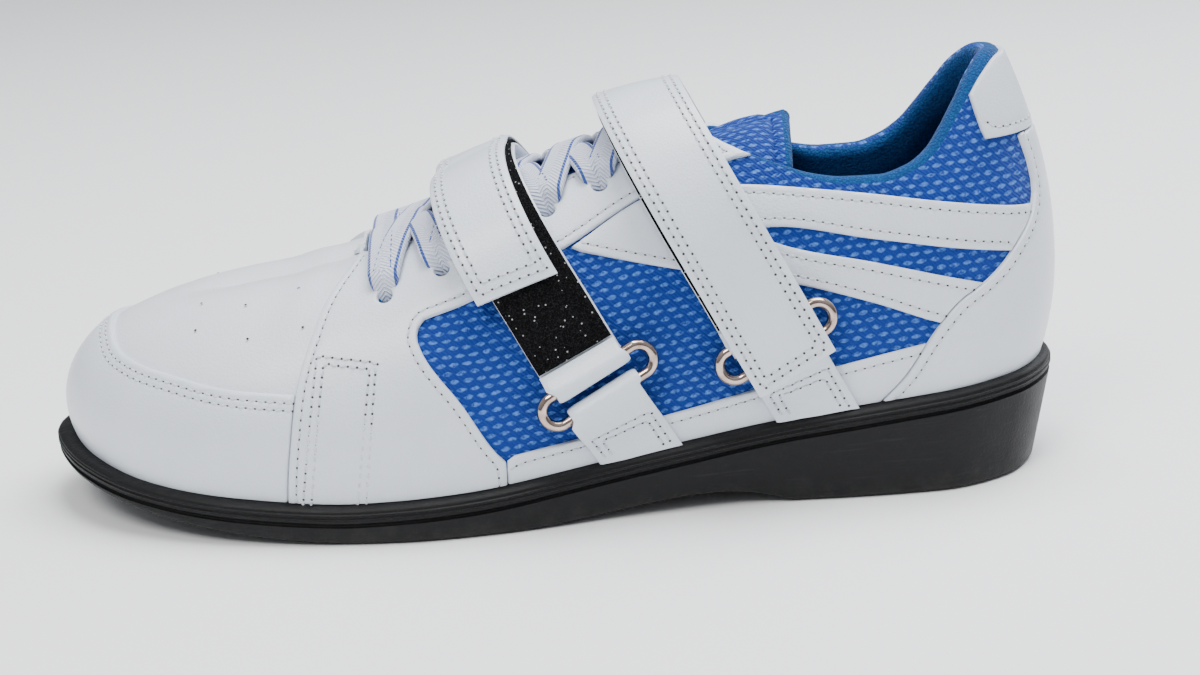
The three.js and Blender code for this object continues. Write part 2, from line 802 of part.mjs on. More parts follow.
// Where a strap's ring lies on one side: its bars, and the way out, down and along it
function ringPlace(row, side) {
  const { along, across, surface, ring } = strapPlane(row);
  const heightOf = (turn) => surface(turn, 0).dot(along) - ring.dot(along);
  let [low, high] = side < 0 ? [Math.PI * 1.15, Math.PI / 2] : [-Math.PI * 0.15, Math.PI / 2];
  for (let step = 0; step < 24; step += 1) {
    const half = (low + high) / 2;
    if (heightOf(half) < 0) low = half;
    else high = half;
  }
  const seat = surface(low, 0);
  const long = surface(low, strapWidth / 2).sub(surface(low, -strapWidth / 2)).normalize();
  const upTurn = side < 0 ? -0.12 : 0.12;
  const up = surface(low + upTurn, 0).sub(surface(low - upTurn, 0)).normalize();
  const out = up.clone().cross(long).normalize();
  if (out.y * side < 0) out.negate();
  const barLift = strapInner + strapThickness + clearance + ringWire / 2;
  const middle = seat.clone().addScaledVector(out, barLift);
  const flatUp = long.clone().cross(out).normalize();
  if (flatUp.z < 0) flatUp.negate();
  const half = (ringWidth - ringWire) / 2;
  return { turn: low, long, out, up: flatUp, middle, half };
}

// An oval ring of round wire
function makeRing(row, side) {
  const { long, out, up, middle, half } = ringPlace(row, side);
  const straight = ringLength / 2 - ringWidth / 2;
  const endSteps = 6;
  const path = [];
  [1, -1].forEach((end) => {
    for (let step = 0; step <= endSteps; step += 1) {
      const turn = Math.PI / 2 - (Math.PI * step) / endSteps;
      const outward = end * (straight + half * Math.cos(turn));
      const upward = end * half * Math.sin(turn);
      path.push({ outward, upward, turn: end > 0 ? turn : turn + Math.PI });
    }
  });
  const wireSides = 8;
  const points = path.flatMap(({ outward, upward, turn }) => {
    const centre = middle.clone().addScaledVector(long, outward).addScaledVector(up, upward);
    const away = long.clone().multiplyScalar(Math.cos(turn)).addScaledVector(up, Math.sin(turn));
    return Array.from({ length: wireSides }, (unused, index) => {
      const around = (Math.PI * 2 * index) / wireSides;
      return centre.clone().addScaledVector(away, (Math.cos(around) * ringWire) / 2)
        .addScaledVector(out, (Math.sin(around) * ringWire) / 2);
    });
  });
  const triangles = [];
  for (let step = 0; step < path.length; step += 1) {
    for (let index = 0; index < wireSides; index += 1) {
      const next = (index + 1) % wireSides;
      const a = step * wireSides;
      const b = ((step + 1) % path.length) * wireSides;
      triangles.push(a + index, a + next, b + next, a + index, b + next, b + index);
    }
  }
  return closedBody(points, triangles);
}

// Steps of a strap round a bar of its ring, from the outer layer to the inner one or back
function wrapSteps(row, side, bar, width, inward) {
  const { long, out, up, middle, half } = ringPlace(row, side);
  const steps = [];
  const count = 6;
  for (let step = 0; step <= count; step += 1) {
    const turn = (Math.PI * (inward ? step : count - step)) / count;
    const away = out.clone().multiplyScalar(Math.cos(turn)).addScaledVector(up, -bar * Math.sin(turn));
    const centre = middle.clone().addScaledVector(up, bar * half).addScaledVector(away, wrapRadius);
    steps.push({
      points: [-0.5, 0, 0.5].map((part) => centre.clone().addScaledVector(long, part * width)),
      normals: [away, away, away],
    });
  }
  return steps;
}

// A run of a strap over the form between two turns; height and drift may vary along it
function runSteps(row, fromTurn, toTurn, width, heightAt, driftAt, facingOut) {
  const plane = strapPlane(row);
  const way = Math.sign(toTurn - fromTurn);
  const turns = [fromTurn];
  let next = (way > 0 ? Math.ceil : Math.floor)(fromTurn / turnStep + way * 0.3) * turnStep;
  for (; way * (toTurn - next) > 0.3 * turnStep; next += way * turnStep) turns.push(next);
  turns.push(toTurn);
  return turns.map((turn) => {
    const share = (turn - fromTurn) / (toTurn - fromTurn);
    const rise = row.lift * ease(0.55, 1, Math.sin(clampShare(turn / Math.PI) * Math.PI));
    const places = [-0.5, 0, 0.5].map((part) => part * width + driftAt(turn));
    const ways = places.map((place) => plane.facing(turn, place));
    return {
      points: places.map((place, index) => plane.surface(turn, place)
        .addScaledVector(ways[index], heightAt(share) + rise)),
      normals: ways.map((way) => (facingOut ? way : way.clone().negate())),
    };
  });
}

// The turn a distance further down the side, or up it when the distance is negative
function turnBelow(row, side, turn, distance) {
  const plane = strapPlane(row);
  const gap = plane.surface(turn, 0).distanceTo(plane.surface(turn + 0.05, 0)) / 0.05;
  return turn - (side * distance) / gap;
}

function turnAtHeight(row, height) {
  const plane = strapPlane(row);
  let [low, high] = [Math.PI * 1.3, Math.PI / 2];
  for (let step = 0; step < 24; step += 1) {
    const half = (low + high) / 2;
    if (plane.surface(half, row.drift).z < height) low = half;
    else high = half;
  }
  return low;
}

const still = () => 0;
const halfRing = (ringWidth - ringWire) / 2;

// Strap: sewn fold on the outer ring, base over the instep, round the inner ring, and back on top
function makeStrap(row) {
  const outerBar = turnBelow(row, -1, ringPlace(row, -1).turn, -halfRing);
  const innerBar = turnBelow(row, 1, ringPlace(row, 1).turn, -halfRing);
  const foldEnd = turnBelow(row, -1, outerBar, -foldLength);
  const freeEnd = turnAtHeight(row, row.endUp * instepRidge);
  const passesRing = freeEnd > foldEnd;
  const topHeight = (share) => {
    const afterRing = mix(overBar, topMiddle, ease(0, 0.14, share));
    return passesRing ? mix(afterRing, overFold, ease(0.55, 0.78, share)) : afterRing;
  };
  const drift = (turn) => row.drift * ease(Math.PI * 0.35, Math.PI * 0.75, turn);
  const fold = (share) => mix(foldMiddle, overBar, ease(0.15, 1, share));
  return strip([
    ...runSteps(row, foldEnd, outerBar, strapWidth, fold, still, true).slice(0, -1),
    ...wrapSteps(row, -1, 1, strapWidth, true),
    ...runSteps(row, outerBar, innerBar, strapWidth, () => baseMiddle, still, false).slice(1, -1),
    ...wrapSteps(row, 1, 1, strapWidth, false),
    ...runSteps(row, innerBar, freeEnd, strapWidth, topHeight, drift, true).slice(1),
  ], strapThickness);
}

// Loop tape on the base, from just above the sewn fold to past the ridge
function makeTape(row) {
  const outerBar = turnBelow(row, -1, ringPlace(row, -1).turn, -halfRing);
  const start = turnBelow(row, -1, outerBar, -foldLength - 2 * clearance);
  const end = Math.PI / 2 - tapePast;
  const width = strapWidth - 2 * clearance;
  return strip(runSteps(row, start, end, width, () => tapeMiddle, still, true), tapeThickness);
}

// Tab that holds a ring: short end inside, round the lower bar, and down to the sole outside
function makeTab(row, side) {
  const lowerBar = turnBelow(row, side, ringPlace(row, side).turn, halfRing);
  const shortEnd = turnBelow(row, side, lowerBar, foldLength / 2);
  const plane = strapPlane(row);
  const rightEdge = (turn) => plane.surface(turn, tabWidth / 2);
  let soleTurn = lowerBar;
  while (rightEdge(soleTurn).z > featherAt(rightEdge(soleTurn).x) - clearance) {
    soleTurn = turnBelow(row, side, soleTurn, 1);
  }
  const outside = (share) => mix(overBar, baseMiddle, ease(0, 0.8, share));
  return strip([
    ...runSteps(row, shortEnd, lowerBar, tabWidth, () => baseMiddle, still, false).slice(0, -1),
    ...wrapSteps(row, side, -1, tabWidth, false),
    ...runSteps(row, lowerBar, soleTurn, tabWidth, outside, still, true).slice(1),
  ], strapThickness).subtract(belowFeather);
}

// Lace: one bar across the front eyelets and a crossing between each two pairs, all joined
function makeLace() {
  const count = eyeletRows.length;
  const runs = [[eyelets[0], eyelets[count]]];
  for (let pair = 0; pair < count - 1; pair += 1) {
    runs.push([eyelets[pair], eyelets[count + pair + 1]], [eyelets[count + pair], eyelets[pair + 1]]);
  }
  const laceMiddle = strapInner + laceSlack + laceThickness / 2;
  return runs.map(([from, to]) => {
    const start = new THREE.Vector2(from.place.x, from.place.y);
    const end = new THREE.Vector2(to.place.x, to.place.y);
    const way = end.clone().sub(start).normalize();
    const side = new THREE.Vector2(-way.y, way.x);
    start.addScaledVector(way, laceFromEyelet);
    end.addScaledVector(way, -laceFromEyelet);
    const steps = Array.from({ length: laceSteps + 1 }, (unused, step) => {
      const centre = start.clone().lerp(end, step / laceSteps);
      const edges = [-0.5, 0.5].map((part) => {
        const place = centre.clone().addScaledVector(side, part * laceWidth);
        return topPoint(place.x, place.y);
      });
      return {
        points: edges.map(({ place, normal }) => place.addScaledVector(normal, laceMiddle)),
        normals: edges.map(({ normal }) => normal),
      };
    });
    return strip(steps, laceThickness);
  }).reduce((all, one) => all.add(one));
}

const formTriangles = trianglesOf(form(0, farBelow));
const belowFeather = stack([
  insetRing(-farBelow, () => -farBelow),
  insetRing(-farBelow, (x) => featherAt(x) + clearance),
]);
const eyelets = [-1, 1].flatMap((side) => eyeletRows.map((row) => eyeletAt(row, side)));
const openings = makeOpenings();
const panelLayer = form(clearance + panelThickness)
  .subtract(form(clearance, insoleThickness))
  .subtract(openings);

const group = new THREE.Group();

function addPiece(name, body, color, roughness, metalness = 0) {
  const { vertProperties, triVerts } = body.getMesh();
  const geometry = new THREE.BufferGeometry();
  geometry.setAttribute('position', new THREE.BufferAttribute(vertProperties, 3));
  geometry.setIndex(new THREE.BufferAttribute(triVerts, 1));
  geometry.computeVertexNormals();
  const material = new THREE.MeshStandardMaterial({ color, roughness, metalness });
  const mesh = new THREE.Mesh(geometry, material);
  mesh.name = name;
  group.add(mesh);
}

const rubberBlack = 0x1b1b1e;
const leatherWhite = 0xdfe4ee;
const meshBlue = 0x2450b0;
const liningTeal = 0x14609c;
const laceWhite = 0xc9cfe6;
const tapeBlack = 0x0e0e10;
const ringChrome = 0xd9cfc8;

addPiece('sole', makeSole(), rubberBlack, 0.42);
addPiece('insole', makeInsole(), liningTeal, 0.9);
addPiece('upper', makeUpper(), meshBlue, 0.75);
addPiece('tongue', makeTongue(), meshBlue, 0.8);
addPiece('toe_guard', makePanel(toeGuardEdge, 0, [sidePanelEdge]), leatherWhite, 0.45);
addPiece('heel_counter', makePanel(counterEdge, 0), leatherWhite, 0.45);
addPiece('heel_tab', makePanel(heelTabEdge, 0), leatherWhite, 0.45);
[['outer', -1], ['inner', 1]].forEach(([where, side]) => {
  addPiece(`side_panel_${where}`, makePanel(sidePanelEdge, side), leatherWhite, 0.45);
  addPiece(`eyestay_${where}`, makePanel(eyestayEdge, side, [sidePanelEdge]), leatherWhite, 0.45);
  addPiece(`quarter_${where}`, makePanel(quarterEdge, side, [eyestayEdge, counterEdge]),
    leatherWhite, 0.45);
  addPiece(`rand_${where}`, makePanel(randEdge, side, [sidePanelEdge, counterEdge]),
    leatherWhite, 0.45);
});

addPiece('lace', makeLace(), laceWhite, 0.8);
Object.entries(strapRows).forEach(([which, row]) => {
  addPiece(`${which}_strap`, makeStrap(row), leatherWhite, 0.45);
  addPiece(`${which}_loop_tape`, makeTape(row), tapeBlack, 0.95);
  [['outer', -1], ['inner', 1]].forEach(([where, side]) => {
    addPiece(`${which}_ring_${where}`, makeRing(row, side), ringChrome, 0.18, 1);
    addPiece(`${which}_tab_${where}`, makeTab(row, side), leatherWhite, 0.45);
  });
});

export default group;
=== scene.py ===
import math
import bpy
import numpy as np
from mathutils import Matrix, Vector
from mathutils.bvhtree import BVHTree
from mathutils.kdtree import KDTree


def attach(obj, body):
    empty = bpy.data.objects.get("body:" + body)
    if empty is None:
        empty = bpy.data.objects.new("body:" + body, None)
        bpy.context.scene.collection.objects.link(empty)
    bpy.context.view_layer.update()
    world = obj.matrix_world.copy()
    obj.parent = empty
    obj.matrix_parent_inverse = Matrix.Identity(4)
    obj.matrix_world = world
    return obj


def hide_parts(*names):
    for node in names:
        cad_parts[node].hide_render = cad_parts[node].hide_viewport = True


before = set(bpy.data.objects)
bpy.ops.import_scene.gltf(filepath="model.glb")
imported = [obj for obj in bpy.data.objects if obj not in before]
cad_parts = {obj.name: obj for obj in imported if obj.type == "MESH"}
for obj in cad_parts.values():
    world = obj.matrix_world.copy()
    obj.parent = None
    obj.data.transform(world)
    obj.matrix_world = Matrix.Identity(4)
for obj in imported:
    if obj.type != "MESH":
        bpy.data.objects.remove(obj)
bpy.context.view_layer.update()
millimetre = 0.001

# camera, floor and light
cameraView = {
    "elevation": 15.0,      # degrees above the horizon
    "roll": 3.0,            # degrees
    "distance": 0.6,        # from the aim
    "aim": (0, 0, 0.06),
    "lens": 62.862,         # on a sensor 36 wide
    "shift": (0.0461, -0.0562),
}


def makeCamera():
    lift, roll = math.radians(cameraView["elevation"]), math.radians(cameraView["roll"])
    back = Vector((0, -math.cos(lift), math.sin(lift)))
    right = Vector((1, 0, 0))
    up = back.cross(right)
    side = right * math.cos(roll) - up * math.sin(roll)
    top = right * math.sin(roll) + up * math.cos(roll)
    bpy.ops.object.camera_add()
    camera = bpy.context.object
    camera.name = "photoCamera"
    turn = Matrix((side, top, back)).transposed()
    camera.matrix_world = Matrix.Translation(Vector(cameraView["aim"]) + back * cameraView["distance"]) @ turn.to_4x4()
    camera.data.lens = cameraView["lens"]
    camera.data.sensor_width = 36
    camera.data.shift_x, camera.data.shift_y = cameraView["shift"]
    camera.data.clip_start = 0.01
    bpy.context.scene.camera = camera


def addNode(tree, kind, inputs=None, **settings):
    node = tree.nodes.new(kind)
    for key, value in settings.items():
        setattr(node, key, value)
    for key, value in (inputs or {}).items():
        socket = node.inputs[key]
        if isinstance(value, bpy.types.NodeSocket):
            tree.links.new(value, socket)
        else:
            socket.default_value = value
    return node


def newMaterial(name, colour, roughness, **fixed):
    material = bpy.data.materials.new(name)
    material.use_nodes = True
    shader = material.node_tree.nodes["Principled BSDF"]
    shader.inputs["Base Color"].default_value = (*colour, 1)
    shader.inputs["Roughness"].default_value = roughness
    for key, value in fixed.items():
        shader.inputs[key].default_value = value
    material.diffuse_color = (*colour, 1)
    return material, material.node_tree, shader


studio = {
    "floor": (0.92, 0.925, 0.93),
    "sky": (0.93, 0.96, 1.0), "horizon": (0.3, 0.31, 0.33), "skyStrength": 0.75,
    "lamps": [  # name, place, size, power, colour
        ("keyLamp", (-0.5, -0.9, 1.3), 0.6, 15, (1.0, 0.985, 0.96)),
        ("topLamp", (0.25, 0.1, 1.25), 0.9, 27, (0.97, 0.985, 1.0)),
        ("rimLamp", (0.9, 0.7, 0.7), 0.6, 6, (0.92, 0.96, 1.0)),
    ],
}


def makeStudio():
    bpy.ops.object.select_all(action="DESELECT")
    bpy.ops.mesh.primitive_plane_add(size=8, location=(0, 0, -0.0004))
    floor = bpy.context.object
    floor.name = "studioFloor"
    bpy.ops.object.transform_apply(location=True)
    material, tree, shader = newMaterial("paleFloor", studio["floor"], 0.75)
    coords = addNode(tree, "ShaderNodeTexCoord")
    noise = addNode(tree, "ShaderNodeTexNoise", {"Vector": coords.outputs["Object"], "Scale": 60.0})
    bump = addNode(tree, "ShaderNodeBump", {"Height": noise.outputs["Fac"], "Strength": 0.05, "Distance": 0.0005})
    tree.links.new(bump.outputs["Normal"], shader.inputs["Normal"])
    floor.data.materials.append(material)
    world = bpy.data.worlds.new("softSky")
    bpy.context.scene.world = world
    world.use_nodes = True
    background = world.node_tree.nodes["Background"]
    tree = world.node_tree
    coords = addNode(tree, "ShaderNodeTexCoord")
    sky = addNode(tree, "ShaderNodeSeparateXYZ", {"Vector": coords.outputs["Generated"]})
    height = addNode(tree, "ShaderNodeMapRange", {"Value": sky.outputs["Z"]})
    colours = {6: (*studio["horizon"], 1), 7: (*studio["sky"], 1)}
    tone = addNode(tree, "ShaderNodeMix", {0: height.outputs["Result"], **colours}, data_type="RGBA")
    tree.links.new(tone.outputs[2], background.inputs["Color"])
    background.inputs["Strength"].default_value = studio["skyStrength"]
    for name, place, size, power, colour in studio["lamps"]:
        bpy.ops.object.light_add(type="AREA", location=place)
        lamp = bpy.context.object
        lamp.name = name
        lamp.data.size = size
        lamp.data.energy = power
        lamp.data.color = colour
        lamp.rotation_euler = (Vector((0, 0, 0.05)) - Vector(place)).to_track_quat("-Z", "Y").to_euler()


makeCamera()
makeStudio()
print("camera and studio ready")

# form of the shoe, in millimetres
shoe = {
    "soleLength": 288.5, "ballWidth": 105, "heelWidth": 73,
    "toeSpring": 14.5, "toeSpringReach": 95,
    "toeThickness": 7, "ballThickness": 10.5, "heelStack": 31.5,
    "heelBreastAt": 66, "archRelief": 4.2, "archReach": 78,
    "edgeBevel": 1.4, "heelUndercut": 4.5, "heelUndercutFrom": 95,
    "toeLip": 6, "lipWidth": 4.2, "lipRise": 1.2,
    "sideGroove": 0.9, "sideGrooveDrop": 3.4, "sideGrooveHeight": 1.3,
    "treadDepth": 1.2, "treadGroove": 2.4, "treadPitch": 15, "treadMargin": 9,
    "toeRidge": 58.5, "instepRidge": 101.5, "ankleRidge": 147, "ridgeFront": -86, "ridgeBack": 100,
    "toeBulge": 2, "sideBulge": 1.5, "heelBulge": 5,
    "wall": 2.2, "collarPad": 4, "collarPadDepth": 26, "collarPadStart": 24, "collarPadFull": 42,
    "collarFront": 40, "collarLow": 89, "heelTop": 119.5,
    "throatTop": 97.5, "throatFront": -50, "throatBack": 60,
    "throatFrontWidth": 30, "throatBackWidth": 20,
    "tongueThickness": 4, "tongueFront": -62, "tongueBack": 69,
    "tongueFrontWidth": 44, "tongueBackWidth": 56, "tongueCorner": 9, "tongueHang": 24,
    "insoleThickness": 4, "insoleEdge": 0.5, "clearance": 0.3,
    "stations": 180, "levels": 48,
}
outlineRows = [
    {"along": 0, "outer": -0.1, "inner": 0.1}, {"along": 0.01, "outer": 0.15, "inner": 0.37},
    {"along": 0.04, "outer": 0.42, "inner": 0.66}, {"along": 0.1, "outer": 0.69, "inner": 0.86},
    {"along": 0.2, "outer": 0.9, "inner": 0.99}, {"along": 0.3, "outer": 0.985, "inner": 0.985},
    {"along": 0.36, "outer": 1, "inner": 0.93}, {"along": 0.44, "outer": 0.966, "inner": 0.81},
    {"along": 0.54, "outer": 0.94, "inner": 0.75}, {"along": 0.65, "outer": 0.985, "inner": 0.83},
    {"along": 0.77, "outer": 1, "inner": 0.95}, {"along": 0.87, "outer": 0.955, "inner": 0.95},
    {"along": 0.95, "outer": 0.72, "inner": 0.735}, {"along": 0.99, "outer": 0.345, "inner": 0.36},
    {"along": 1, "outer": 0, "inner": 0},
]
thicknessRows = [
    {"along": 0.3, "share": 0}, {"along": 0.42, "share": 0.07}, {"along": 0.52, "share": 0.22},
    {"along": 0.62, "share": 0.41}, {"along": 0.72, "share": 0.6}, {"along": 0.85, "share": 0.81},
    {"along": 0.95, "share": 0.94}, {"along": 1, "share": 1},
]
ridgeRows = [
    {"along": 0, "rise": 0, "shift": 0.11, "fullness": 2.7},
    {"along": 0.17, "rise": 0.18, "shift": 0.11, "fullness": 2.4},
    {"along": 0.31, "rise": 0.385, "shift": 0.08, "fullness": 2.15},
    {"along": 0.42, "rise": 0.6, "shift": 0.06, "fullness": 2.2},
    {"along": 0.53, "rise": 0.775, "shift": 0.04, "fullness": 2.4},
    {"along": 0.64, "rise": 0.92, "shift": 0.02, "fullness": 2.55},
    {"along": 0.75, "rise": 1, "shift": 0.01, "fullness": 2.6},
    {"along": 0.84, "rise": 1.12, "shift": 0, "fullness": 2.5},
    {"along": 0.92, "rise": 1.5, "shift": 0, "fullness": 2.3},
    {"along": 1, "rise": 2, "shift": 0, "fullness": 2.1},
]
collarRows = [
    {"along": 0, "front": 1.6, "back": 0}, {"along": 0.11, "front": 1, "back": 0},
    {"along": 0.18, "front": 0.67, "back": 0}, {"along": 0.25, "front": 0.36, "back": 0},
    {"along": 0.32, "front": 0.13, "back": 0}, {"along": 0.41, "front": 0, "back": 0},
    {"along": 0.5, "front": 0, "back": 0}, {"along": 0.58, "front": 0, "back": 0.08},
    {"along": 0.645, "front": 0, "back": 0.23}, {"along": 0.69, "front": 0, "back": 0.42},
    {"along": 0.73, "front": 0, "back": 0.62}, {"along": 0.785, "front": 0, "back": 0.865},
    {"along": 0.84, "front": 0, "back": 1}, {"along": 1, "front": 0, "back": 1.06},
]


def mix(a, b, share):
    return a + (b - a) * share


def ease(low, high, value):
    share = np.clip((value - low) / (high - low), 0, 1)
    return share * share * (3 - 2 * share)


def alongCorners(corners, counts):
    for (a, b), (c, d), count in zip(corners[:-1], corners[1:], counts):
        for step in range(count):
            yield mix(a, c, step / count), mix(b, d, step / count)


def follow(rows, column, at):
    places = np.array([row["along"] for row in rows], float)
    heights = np.array([row[column] for row in rows], float)
    steps = np.diff(places)
    slopes = np.diff(heights) / steps
    both = slopes[:-1] * slopes[1:]
    total = np.where(both > 0, slopes[:-1] + slopes[1:], 1)
    pulls = np.concatenate([slopes[:1], np.where(both > 0, 2 * both / total, 0), slopes[-1:]])
    at = np.clip(at, places[0], places[-1])
    row = np.clip(np.searchsorted(places, at) - 1, 0, len(steps) - 1)
    t = (at - places[row]) / steps[row]
    rise = heights[row + 1] - heights[row]
    return (heights[row] + pulls[row] * steps[row] * t * (1 - t) ** 2 + rise * t * t * (3 - 2 * t)
            - pulls[row + 1] * steps[row] * t * t * (1 - t))


def angleOf(along):
    return np.arccos(1 - 2 * np.clip(along, 0, 1)) / np.pi


roundRows = [{**row, "along": float(angleOf(row["along"]))} for row in outlineRows]
stations, levels = shoe["stations"], shoe["levels"]
ringSize = 2 * stations


def outlineY(along, side):
    share = follow(roundRows, "outer" if side < 0 else "inner", angleOf(along))
    return side * share * mix(shoe["ballWidth"], shoe["heelWidth"], ease(0.4, 0.75, along)) / 2


def makeOutline():
    station = np.arange(ringSize)
    station = np.where(station <= stations, station, ringSize - station)
    along = (1 - np.cos(np.pi * station / stations)) / 2
    outer = np.arange(ringSize) <= stations
    y = np.where(outer, outlineY(along, -1), outlineY(along, 1))
    points = np.c_[(along - 0.5) * shoe["soleLength"], y]
    tangent = np.roll(points, -1, 0) - np.roll(points, 1, 0)
    tangent /= np.linalg.norm(tangent, axis=1)[:, None]
    return points, np.c_[tangent[:, 1], -tangent[:, 0]]


outline, outwards = makeOutline()


def alongOf(x):
    return x / shoe["soleLength"] + 0.5


def lipAt(x):
    return mix(shoe["toeLip"], shoe["lipWidth"], ease(0, 0.15, alongOf(x)))


def springAt(x):
    fromToe = (x + shoe["soleLength"] / 2) / shoe["toeSpringReach"]
    return shoe["toeSpring"] * np.clip(1 - fromToe, 0, 1) ** 1.9


def bottomAt(x):
    intoArch = np.clip((shoe["heelBreastAt"] - x) / shoe["archReach"], 0, 1)
    return springAt(x) + shoe["archRelief"] * np.sin(np.pi * intoArch ** 0.6) ** 2


def featherAt(x):
    along = np.clip(alongOf(x), 0, 1)
    front = mix(shoe["toeThickness"], shoe["ballThickness"], ease(0, 0.3, along))
    back = mix(shoe["ballThickness"], shoe["heelStack"], follow(thicknessRows, "share", along))
    return springAt(x) + np.where(along < 0.3, front, back)


def insetRing(inset, heightAt, tuck=0):
    depth = inset(outline[:, 0]) if callable(inset) else inset
    place = outline - outwards * np.reshape(depth * np.ones(ringSize), (-1, 1))
    place[:, 0] -= tuck * shoe["heelUndercut"] * ease(shoe["heelUndercutFrom"], shoe["soleLength"] / 2, place[:, 0])
    return np.c_[place, heightAt(place[:, 0]) * np.ones(ringSize)]


def ridgePoint(share):
    rise = follow(ridgeRows, "rise", share)
    height = mix(shoe["toeRidge"], shoe["instepRidge"], np.minimum(1, rise))
    height = height + (shoe["ankleRidge"] - shoe["instepRidge"]) * np.maximum(0, rise - 1)
    shift = follow(ridgeRows, "shift", share) * shoe["ballWidth"] / 2
    return np.stack([mix(shoe["ridgeFront"], shoe["ridgeBack"], share), shift, height], -1)


def makeForm():
    feather = insetRing(lipAt, lambda x: featherAt(x) + shoe["clearance"])
    share = (feather[:, 0] - feather[0, 0]) / (feather[stations, 0] - feather[0, 0])
    top = ridgePoint(share)
    power = (2 / follow(ridgeRows, "fullness", share))[:, None]
    turn = (np.pi / 2 * np.arange(levels + 1) / levels)[None, :]
    inward = 1 - np.maximum(np.cos(turn), 0) ** power
    height = np.sin(turn) ** power
    inward[:, -1] = height[:, -1] = 1
    bulge = mix(mix(shoe["toeBulge"], shoe["sideBulge"], ease(0, 0.2, share)), shoe["heelBulge"], ease(0.8, 1, share))
    bulge = bulge[:, None] * 6.75 * height * (1 - height) ** 2
    grid = np.stack([
        mix(feather[:, None, 0], top[:, None, 0], inward) + outwards[:, None, 0] * bulge,
        mix(feather[:, None, 1], top[:, None, 1], inward) + outwards[:, None, 1] * bulge,
        mix(feather[:, None, 2], top[:, None, 2], height),
    ], -1)
    along = np.roll(grid, -1, 0) - np.roll(grid, 1, 0)
    upward = np.concatenate([grid[:, 1:], grid[:, -1:]], 1) - np.concatenate([grid[:, :1], grid[:, :-1]], 1)
    normals = np.cross(along, upward)
    opposite = grid[(ringSize - np.arange(ringSize)) % ringSize]
    across = grid[:, levels - 1] - opposite[:, levels - 1]
    ahead = along[:, levels].copy()
    ahead[[0, stations]] = (1, 0, 0)
    across[[0, stations]] = (0, 1, 0)
    up = np.cross(ahead, across)
    normals[:, levels] = up * np.sign(up[:, 2:3] + 1e-12)
    normals /= np.linalg.norm(normals, axis=2)[..., None] + 1e-12
    return grid, normals


formGrid, formNormals = makeForm()
ribLength = np.concatenate([np.zeros((ringSize, 1)), np.cumsum(
    np.linalg.norm(np.diff(formGrid, axis=1), axis=2), axis=1)], 1)


def readGrid(grid, places):
    station = places[:, 0] % ringSize
    low = np.floor(station).astype(int) % ringSize
    high = (low + 1) % ringSize
    level = np.clip(places[:, 1], 0, levels)
    under = np.minimum(np.floor(level).astype(int), levels - 1)
    a, b = (station - np.floor(station)), level - under
    if grid.ndim == 3:
        a, b = a[:, None], b[:, None]
    return ((grid[low, under] * (1 - a) + grid[high, under] * a) * (1 - b)
            + (grid[low, under + 1] * (1 - a) + grid[high, under + 1] * a) * b)


def onForm(places, grow=0.0):
    places = np.asarray(places, float)
    distance = np.reshape(grow * np.ones(len(places)), (-1, 1))
    normal = readGrid(formNormals, places)
    return readGrid(formGrid, places) + normal * distance


def collarAt(x):
    along = np.clip((x - shoe["collarFront"]) / (shoe["soleLength"] / 2 - shoe["collarFront"]), 0, 1)
    return (shoe["collarLow"] + follow(collarRows, "front", along) * (shoe["throatTop"] - shoe["collarLow"])
            + follow(collarRows, "back", along) * (shoe["heelTop"] - shoe["collarLow"]))


def wallThickness(points):
    below = (collarAt(points[:, 0]) - points[:, 2]) / shoe["collarPadDepth"]
    start = shoe["collarFront"]
    padded = ease(start + shoe["collarPadStart"], start + shoe["collarPadFull"], points[:, 0])
    return shoe["wall"] + shoe["collarPad"] * padded * (1 - ease(0.25, 1, below))


# sheets cut out of the form
def ringSheet():
    columns, rows = ringSize + 1, levels + 1
    places = [(column, row) for column in range(columns) for row in range(rows)]
    faces = [[c * rows + r, (c + 1) * rows + r, (c + 1) * rows + r + 1, c * rows + r + 1]
             for c in range(columns - 1) for r in range(rows - 1)]
    return np.array(places, float), faces


def splitSheet(places, faces, values, level=0.0, near=None):
    places, values = list(map(tuple, places)), list(values)
    made, above, below, plain = {}, [], [], []

    def crossing(a, b):
        key = (min(a, b), max(a, b))
        if key not in made:
            first, second = values[key[0]], values[key[1]]
            share = (level - first) / (second - first)
            p, q = places[key[0]], places[key[1]]
            places.append((mix(p[0], q[0], share), mix(p[1], q[1], share)))
            values.append(level)
            made[key] = len(places) - 1
        return made[key]

    for index, face in enumerate(faces):
        if near is not None and not near[index]:
            plain.append(face)
            continue
        signs = [0 if abs(values[i] - level) < 1e-5 else (1 if values[i] > level else -1) for i in face]
        if min(signs) >= 0:
            above.append(face)
        elif max(signs) <= 0:
            below.append(face)
        else:
            upper, lower = [], []
            for here, sign, there, other in zip(face, signs, face[1:] + face[:1], signs[1:] + signs[:1]):
                if sign >= 0:
                    upper.append(here)
                if sign <= 0:
                    lower.append(here)
                if sign * other < 0:
                    middle = crossing(here, there)
                    upper.append(middle)
                    lower.append(middle)
            above.append(upper)
            below.append(lower)
    if made:
        def filled(face):
            out = []
            for here, there in zip(face, face[1:] + face[:1]):
                out.append(here)
                key = (min(here, there), max(here, there))
                if key in made:
                    out.append(made[key])
            return out
        plain = [filled(face) for face in plain]
        if near is not None:
            above = [filled(face) for face in above]
            below = [filled(face) for face in below]
    return np.array(places), above, below, plain


def tidySheet(places, faces):
    used = sorted({i for face in faces for i in face})
    order = {old: new for new, old in enumerate(used)}
    return places[used], [[order[i] for i in face] for face in faces]


def keepWhere(places, faces, field):
    places, faces = splitSheet(places, faces, field(onForm(places)))[:2]
    return tidySheet(places, faces)


